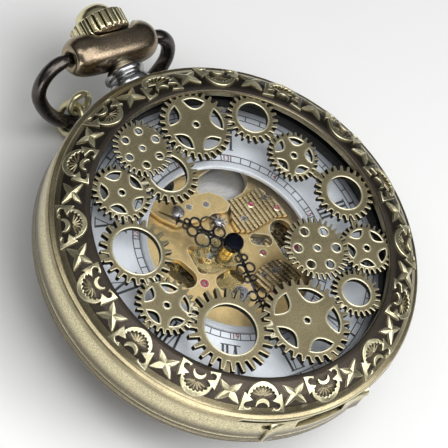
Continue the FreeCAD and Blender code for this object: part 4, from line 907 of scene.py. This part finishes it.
def build_dial():
    base = low("dial").z
    face = DIAL_FACE
    disc = lathe("dial_disc", rounded([(10.6, base), (20.5, base), (20.5, face), (11.5, face),
                                       (11.4, face + 0.2),
                                       (10.75, face + 0.2), (10.6, face + 0.1)], 0.05), MATERIALS["dial"],
                                       240)
    finish_piece(disc, "case", "dial", "dial")
    ink, red = MATERIALS["ink"], MATERIALS["red"]
    bottom, top = face - 0.02, face + 0.02
    parts = []
    for radius in (11.57, 12.42, 17.6, 18.3):
        parts.append(flat_ring(radius - 0.05, radius + 0.05, bottom, top, ink))
    for k in range(60):
        for inner, outer, half in ((11.57, 12.42, 0.05), (17.6, 18.3, 0.13 if k % 5 == 0 else 0.05)):
            loop = [turn_point(p, 6.0 * k) for p in ((inner, -half), (outer, -half), (outer, half),
                                                     (inner, half))]
            parts.append(prism(loop, bottom, top, ink))
    red_parts = []
    for hour in range(12):
        azimuth = 90.0 - 30.0 * hour
        for stroke in roman_strokes(ROMAN[hour], 3.9):
            loop = [turn_point((15.15 + y, -x), azimuth) for x, y in stroke]
            parts.append(prism(loop[::-1], bottom, top + 0.005, ink))
        text = str(hour + 12 if hour else 24)
        upright = azimuth - 90.0 if hour < 4 or hour > 8 else azimuth + 90.0
        spot = turn_point((11.98, 0), azimuth + 3.0)
        red_parts.append(digits(text, 0.95, red, spot, upright + 3.0))
    finish_piece(join("dial_print", parts), "case", "ink")
    finish_piece(join("dial_hours", red_parts), "case", "red")


# ---------------------------------------------------------------- pendant, crown and bow
BULB_HALF, BULB_RADIUS = 6.25, 2.75
CROWN_RADIUS, CROWN_CONE, CROWN_BAND, CROWN_FLUTES = 3.55, 0.7, 1.95, 24


def build_pendant():
    section = [(0.05, -1.0), (0.35, -1.0), (0.5, -1.0), (0.62, -0.985), (0.74, -0.93), (0.84, -0.86),
               (0.91, -0.77), (0.96, -0.64), (0.985, -0.5), (1.0, -0.3), (1.0, 0.3), (0.985, 0.5),
               (0.96, 0.64),
               (0.91, 0.77), (0.84, 0.86), (0.74, 0.93), (0.62, 0.985), (0.5, 1.0), (0.35, 1.0), (0.05, 1.0)]
    profile = [(r * BULB_RADIUS, h * BULB_HALF) for r, h in section]
    fine = rounded(profile, 0.4, 2, closed=False)
    stretched = []
    for (r0, h0), (r1, h1) in zip(fine, fine[1:]):
        steps = max(1, int(abs(h1 - h0) / 0.12))
        stretched += [(r0 + (r1 - r0) * k / steps, h0 + (h1 - h0) * k / steps) for k in range(steps)]
    stretched.append(fine[-1])
    bulb = lathe("pendant_bulb", stretched, MATERIALS["bulb"], 120, closed=False)
    axis = Vector((math.cos(BULB_TWIST), 0, -math.sin(BULB_TWIST)))
    turn = Vector((0, 0, 1)).rotation_difference(axis).to_matrix().to_4x4()
    place = Matrix.Translation(Vector((0, BULB_Y, STEM_Z)) * MM) @ turn
    move(bulb, place)
    seat = low("crown").y - 0.15
    for vertex in bulb.data.vertices:
        x, y, z = vertex.co / MM
        beyond = max(0.0, math.hypot(x, z - STEM_Z) - CROWN_RADIUS + 0.1)
        vertex.co.y = min(y, seat + 1.25 * beyond ** 1.7) * MM
    for sign in (-1, 1):
        centre = Vector((0, BULB_Y, STEM_Z)) + axis * sign * BULB_HALF
        for vertex in bulb.data.vertices:
            away = vertex.co / MM - centre
            if away.length < 0.85 and away.dot(axis) * sign > -0.3:
                vertex.co -= axis * sign * 0.3 * MM
    finish_piece(bulb, "case", "bulb", "pendant")
    start = low("pendant_neck").y
    collar = [(1.0, 0.0), (2.7, 0.0), (2.7, 2.6), (2.62, 2.8), (2.72, 3.1), (2.76, 3.4), (2.68, 3.75),
              (2.36, 4.05),
              (2.18, 4.25), (2.22, 4.5), (2.5, 4.7), (2.62, 5.0), (2.54, 5.3), (2.2, 5.55), (1.98, 5.8),
              (1.7, 6.0), (1.35, 6.5), (1.2, 7.1), (1.0, 7.1)]
    base = 23.55 - 2.8
    neck = lathe("pendant_collars", rounded(collar, 0.12), MATERIALS["steel"], 96)
    move(neck, Matrix.Translation(Vector((0, base, STEM_Z)) * MM) @ Matrix.Rotation(-math.pi / 2, 4, "X"))
    finish_piece(neck, "case", "steel", "pendant_neck")


def crown_warp(angle, radius, height):
    """Cuts the flutes into the crown's band and fades them out over its shoulders."""
    share = max(0.0, min(1.0, (height - CROWN_CONE + 0.3) / 0.3,
                         (CROWN_CONE + 0.25 + CROWN_BAND - height) / 0.25))
    if radius > CROWN_RADIUS * 0.8:
        wave = min(1.0, 1.7 * abs(math.sin(angle * CROWN_FLUTES / 2)))
        radius -= 0.4 * share * (1 - wave)
    return radius, height


def build_crown():
    radius, band = CROWN_RADIUS, CROWN_BAND
    top = CROWN_CONE + band
    section = [(0.0, 0.0), (radius - 0.9, 0.0), (radius - 0.4, CROWN_CONE * 0.45), (radius, CROWN_CONE),
               (radius, CROWN_CONE + band * 0.5), (radius, top), (radius - 0.18, top + 0.18),
               (radius - 0.45, top + 0.25), (radius * 0.68, top + 0.35), (radius * 0.67, top + 0.6),
               (radius * 0.66, top + 0.9), (radius * 0.56, top + 1.5), (radius * 0.36, top + 2.0),
               (radius * 0.16, top + 2.25), (0.0, top + 2.3)]
    crown = lathe("winding_crown", rounded(section, 0.16, closed=False), MATERIALS["brass"], 288,
                  crown_warp, 50.0, closed=False)
    span_materials(crown, MATERIALS["bulb"], lambda r, z: z < CROWN_CONE - 0.1)
    start = low("crown").y
    move(crown, Matrix.Translation(Vector((0, start, STEM_Z)) * MM) @ Matrix.Rotation(-math.pi / 2, 4, "X"))
    finish_piece(crown, "crown_stem", "brass", "crown")


BOW_HALF, BOW_DROP, BOW_WIRE, BOW_SWING = 9.96, 10.8, 0.9, 113.7
LINK_MAJOR, FAR_LINK, LINK_WIRE, LINK_BEARING, LINK_PLAY = 1.9, 1.35, 0.45, -20.0, 0.08


def bow_axes():
    axis = Vector((math.cos(BULB_TWIST), 0, -math.sin(BULB_TWIST)))
    swing = math.radians(BOW_SWING)
    hang = Vector((0, math.cos(swing), -math.sin(swing)))
    return axis, (hang - axis * hang.dot(axis)).normalized()


def bow_shape():
    """The bow's two shoulders and wide foot: centre distances, radii and the lean where they meet."""
    shoulder_x = BULB_HALF + 0.2
    shoulder = BOW_HALF - shoulder_x
    rise = BOW_DROP - shoulder
    foot = (shoulder_x ** 2 + rise ** 2 - shoulder ** 2) / (2 * (rise - shoulder))
    lean = math.degrees(math.atan2(shoulder_x, foot - rise))
    return shoulder_x, shoulder, foot, lean


def build_bow():
    axis, hang = bow_axes()
    shoulder_x, shoulder, foot, lean = bow_shape()
    points = [(-shoulder_x + 0.9 - 0.15 * k, 0.0) for k in range(6)]
    for cx, cy, radius, first, last in ((-shoulder_x, shoulder, shoulder, -180.0, -lean),
                                        (0.0, BOW_DROP - foot, foot, -lean, lean),
                                        (shoulder_x, shoulder, shoulder, lean, 180.0)):
        steps = int(abs(last - first) / 4)
        points += [(cx + radius * math.sin(math.radians(first + (last - first) * k / steps)),
                    cy + radius * math.cos(math.radians(first + (last - first) * k / steps)))
                   for k in range(0 if radius != foot else 1, steps + (1 if radius != foot else 0))]
    points += [(shoulder_x - 0.15 - 0.15 * k, 0.0) for k in range(6)]
    origin = Vector((0, BULB_Y, STEM_Z))
    path = [origin + axis * x + hang * y for x, y in points]

    def taper(t):
        ends = max(0.0, min(1.0, (min(t, 1 - t) - 0.03) / 0.09))
        return 0.66 + 0.34 * ends * ends * (3 - 2 * ends)

    bow = tube("bow_wire", path, BOW_WIRE, MATERIALS["dark"], sides=32, taper=taper)
    finish_piece(bow, "bow_body", "dark", "bow")


def link_ring(name, centre, across, major, gap_at, gap=9.0):
    """A chain link bent from round wire, its two ends nearly meeting."""
    first = across.orthogonal().normalized()
    second = across.cross(first)
    steps = 56
    points = []
    for k in range(steps + 1):
        angle = math.radians(gap_at + gap / 2 + (360.0 - gap) * k / steps)
        points.append(centre + (first * math.cos(angle) + second * math.sin(angle)) * major)
    return tube(name, points, LINK_WIRE, MATERIALS["link"], sides=20)


def build_links():
    axis, hang = bow_axes()
    shoulder_x, shoulder, foot, lean = bow_shape()
    bearing = math.radians(LINK_BEARING)
    origin = Vector((0, BULB_Y, STEM_Z))
    hook = origin + axis * foot * math.sin(bearing) + hang * (BOW_DROP - foot + foot * math.cos(bearing))
    inward = (origin - hook).normalized()
    along = (axis * math.cos(bearing) - hang * math.sin(bearing)).normalized()
    away = along.cross(inward).normalized()
    first = hook + inward * (LINK_MAJOR - BOW_WIRE - LINK_WIRE - LINK_PLAY)
    second = first + inward * (LINK_MAJOR + FAR_LINK - 2 * LINK_WIRE - LINK_PLAY)
    finish_piece(link_ring("link_near", first, along, LINK_MAJOR, 70.0), "link_a", "link", "chain_link_a")
    finish_piece(link_ring("link_far", second, away, FAR_LINK, 200.0), "link_b", "link", "chain_link_b")


# ---------------------------------------------------------------- small parts of the movement
def boss(name, x, y, section, material, segments=40):
    """A small turned part standing at a point of the movement, from (radius, height) points."""
    piece = lathe(name, rounded(section, 0.04, 2, closed=False), material, segments, closed=False)
    return move(piece, Matrix.Translation(Vector((x, y, 0)) * MM))


def build_trim():
    """The setting pinion, a steel cap, jewel settings and the cap over the hands."""
    floor, bridge = high("main_plate").z, high("front_bridge_top").z
    leaves = gear_loop(10, 0.98, 0.5, 8.0, 0.8, 3.7, 0.3, 0.5)
    parts = [plate("leaves", [leaves, ring_points(0.2, 16, 0.8, 3.7)], floor + 0.25, floor + 0.75,
                   MATERIALS["steel"], 0.04),
             boss("shaft", 0.8, 3.7, [(0.0, floor), (0.3, floor), (0.3, floor + 0.85), (0.0, floor + 0.9)],
                  MATERIALS["steel"])]
    cap = [(0.0, bridge), (0.85, bridge), (0.85, bridge + 0.1), (0.7, bridge + 0.22), (0.0, bridge + 0.26)]
    parts.append(boss("steel_cap", -3.6, 6.6, cap, MATERIALS["steel"]))
    finish_piece(join("setting_pinion", parts), "case", "steel")
    settings = []
    for x, y, level in ((4.5, -1.65, floor), (8.9, 2.9, bridge), (5.9, 4.4, bridge), (-1.0, 2.9, floor)):
        settings.append(boss("jewel", x, y, [(0.0, level + 0.03), (0.2, level + 0.1), (0.3, level + 0.1),
                                             (0.34, level)], MATERIALS["ruby"], 28))
        ring = lathe("setting", [(0.34, level - 0.05), (0.34, level + 0.08), (0.46, level + 0.06),
                                 (0.52, level - 0.05)], MATERIALS["gilt_wheel"], 32)
        settings.append(move(ring, Matrix.Translation(Vector((x, y, 0)) * MM)))
    finish_piece(join("jewel_settings", settings), "case", "ruby")
    pipe = high("cannon_pinion").z
    hat = [(0.0, pipe - 0.12), (1.12, pipe - 0.12), (1.2, pipe - 0.05), (1.12, pipe + 0.08),
           (0.8, pipe + 0.16),
           (0.0, pipe + 0.2)]
    finish_piece(boss("hand_cap", 0, 0, hat, MATERIALS["blued"], 48), "centre_body", "blued")


# ---------------------------------------------------------------- finishes on the CAD nodes
def finish_nodes():
    paint("case", "back_cover", "case_band")
    paint("bronze", "hinge_pin")
    paint("glass", "back_glass", "front_glass")
    paint("steel", "winding_stem", "winding_pinion", "clutch", "seconds_boss", "ratchet_wheel", "click",
          "click_post", "crown_wheel_core", "crown_wheel", "front_screws", "minute_post", "cannon_pinion",
          "barrel_arbor", "centre_arbor", "third_arbor", "fourth_arbor", "escape_arbor", "escape_wheel",
          "pallet_fork", "balance_staff")
    # the glass bezel takes the near-black spacer finish as painted shade in the gap round the dial
    paint("spacer_and_bezel_shade", "movement_ring", "glass_bezel")
    paint("gilt", "main_plate", "train_bridge", "balance_cock", "front_bridge_top")
    paint("stripes", "front_bridge_right")
    paint("stripes_low", "front_bridge_low", "barrel_bridge")
    paint("gilt_wheel", "centre_wheel", "third_wheel", "fourth_wheel", "balance_wheel", "minute_wheel",
          "hour_wheel")
    paint("barrel", "barrel")
    paint("blued", "mainspring", "hairspring", "hour_hand", "minute_hand")
    paint("ruby", "jewels")


# ---------------------------------------------------------------- stage
def soft_light(name, place, width, height, glow, target=(0, 0, 6), colour=(1, 1, 1)):
    """A rectangular softbox, its power worked out from how bright its face should look."""
    lamp = bpy.data.lights.new(name, "AREA")
    lamp.shape = "RECTANGLE"
    lamp.size = width * MM
    lamp.size_y = height * MM
    lamp.energy = glow * math.pi * width * height * MM * MM
    lamp.color = colour
    holder = bpy.data.objects.new(name, lamp)
    bpy.context.collection.objects.link(holder)
    holder.location = Vector(place) * MM
    aim = (Vector(target) - Vector(place)).normalized()
    holder.rotation_euler = aim.to_track_quat("-Z", "Y").to_euler()
    return holder


def build_stage(level, key, fill):
    lo, hi = CAD_BOX
    floor = add_mesh("floor", [(-900, -900, 0), (900, -900, 0), (900, 900, 0), (-900, 900, 0)],
                     [(0, 1, 2, 3)], None, smooth=False)
    floor.location.z = lo.z - 0.0002
    material, tree, shader = new_material("pale_floor")
    shader.inputs["Base Color"].default_value = (0.84, 0.84, 0.83, 1)
    shader.inputs["Roughness"].default_value = 0.9
    floor.data.materials.clear()
    floor.data.materials.append(material)
    lamps = [soft_light("overhead", (15, -70, 190), 220, 220, key),
             soft_light("low_right", (170, -170, 170), 110, 110, fill),
             soft_light("front_left", (-190, -230, 70), 220, 110, fill * 1.3),
             soft_light("left", (-105, 55, 185), 80, 80, fill)]
    world = bpy.data.worlds.new("studio")
    world.use_nodes = True
    sky = world.node_tree
    heading = sky.nodes.new("ShaderNodeTexCoord")
    split = sky.nodes.new("ShaderNodeSeparateXYZ")
    sky.links.new(heading.outputs["Generated"], split.inputs[0])
    glow_up = band_node(sky, split.outputs["Z"], 0.15, 0.75, 0.12, 1.0)
    sky.links.new(colour_mix(sky, glow_up, (0.0, 0.0, 0.0), (0.93, 0.97, 1.0)),
                  sky.nodes["Background"].inputs["Color"])
    sky.nodes["Background"].inputs["Strength"].default_value = level
    bpy.context.scene.world = world
    bpy.context.scene.view_settings.view_transform = "Standard"
    right = Vector((0.81249617, -0.46679363, 0.34921866))
    up = Vector((0.29179448, 0.84423546, 0.44958032))
    back = right.cross(up)
    camera = bpy.data.cameras.new("camera")
    camera.lens = 399.7
    camera.sensor_width = 36.0
    camera.clip_start = 0.01
    camera.clip_end = 10.0
    holder = bpy.data.objects.new("camera", camera)
    bpy.context.collection.objects.link(holder)
    spot = (Vector((0, 0, 11.4)) + back * 589.64 - right * 2.014 + up * 1.112) * MM
    turn = Matrix((right, up, back)).transposed().to_4x4()
    holder.matrix_world = Matrix.Translation(spot) @ turn
    bpy.context.scene.camera = holder


# ---------------------------------------------------------------- properties, operators and panel
class WATCH_PG_stage(bpy.types.PropertyGroup):
    world_level: FloatProperty(name="Room light", description="Strength of the even light",
        default=0.24, min=0.0)
    key_glow: FloatProperty(name="Key light", description="Brightness of the overhead softbox",
        default=3.1, min=0.0)
    fill_glow: FloatProperty(name="Side lights", description="Brightness of the side softboxes",
        default=3.1, min=0.0)


class WATCH_OT_materials(bpy.types.Operator):
    """Makes the finishes and gives them to the CAD nodes that stay visible"""
    bl_idname = "watch.materials"
    bl_label = "Finishes"

    def execute(self, context):
        MATERIALS.update(make_materials())
        finish_nodes()
        return {"FINISHED"}


class WATCH_OT_lid(bpy.types.Operator):
    """Turns the lid's ring and lays the stars and fans round it"""
    bl_idname = "watch.lid"
    bl_label = "Lid ring"

    def execute(self, context):
        build_lid_ring()
        build_ornament()
        return {"FINISHED"}


class WATCH_OT_openwork(bpy.types.Operator):
    """Cuts the openwork wheels of the lid"""
    bl_idname = "watch.openwork"
    bl_label = "Openwork wheels"

    def execute(self, context):
        build_gearwork()
        return {"FINISHED"}


class WATCH_OT_dial(bpy.types.Operator):
    """Makes the ring dial and its print"""
    bl_idname = "watch.dial"
    bl_label = "Dial"

    def execute(self, context):
        build_dial()
        return {"FINISHED"}


class WATCH_OT_trim(bpy.types.Operator):
    """Adds the small turned parts of the movement"""
    bl_idname = "watch.trim"
    bl_label = "Movement trim"

    def execute(self, context):
        build_trim()
        return {"FINISHED"}


class WATCH_OT_pendant(bpy.types.Operator):
    """Turns the pendant, its collars and the winding crown"""
    bl_idname = "watch.pendant"
    bl_label = "Pendant and crown"

    def execute(self, context):
        build_pendant()
        build_crown()
        return {"FINISHED"}


class WATCH_OT_bow(bpy.types.Operator):
    """Bends the bow and the two chain links"""
    bl_idname = "watch.bow"
    bl_label = "Bow and links"

    def execute(self, context):
        build_bow()
        build_links()
        return {"FINISHED"}


class WATCH_OT_stage(bpy.types.Operator):
    """Sets the floor, lamps and camera"""
    bl_idname = "watch.stage"
    bl_label = "Stage"

    def execute(self, context):
        settings = context.scene.watch_stage
        build_stage(settings.world_level, settings.key_glow, settings.fill_glow)
        return {"FINISHED"}


class WATCH_PT_panel(bpy.types.Panel):
    """Lists the steps that build the watch"""
    bl_label = "Pocket watch"
    bl_idname = "WATCH_PT_panel"
    bl_space_type = "VIEW_3D"
    bl_region_type = "UI"
    bl_category = "Watch"

    def draw(self, context):
        for operator in OPERATORS:
            self.layout.operator(operator.bl_idname)


OPERATORS = (WATCH_OT_materials, WATCH_OT_lid, WATCH_OT_openwork, WATCH_OT_dial, WATCH_OT_trim,
             WATCH_OT_pendant, WATCH_OT_bow, WATCH_OT_stage)
CLASSES = (WATCH_PG_stage,) + OPERATORS + (WATCH_PT_panel,)


def register():
    for cls in CLASSES:
        bpy.utils.register_class(cls)
    bpy.types.Scene.watch_stage = PointerProperty(type=WATCH_PG_stage)


def unregister():
    del bpy.types.Scene.watch_stage
    for cls in reversed(CLASSES):
        bpy.utils.unregister_class(cls)


def main():
    register()
    for operator in OPERATORS:
        step = getattr(bpy.ops.watch, operator.bl_idname.split(".")[1])
        if step() != {"FINISHED"}:
            raise RuntimeError(operator.bl_idname + " did not finish")


if __name__ == "__main__":
    main()
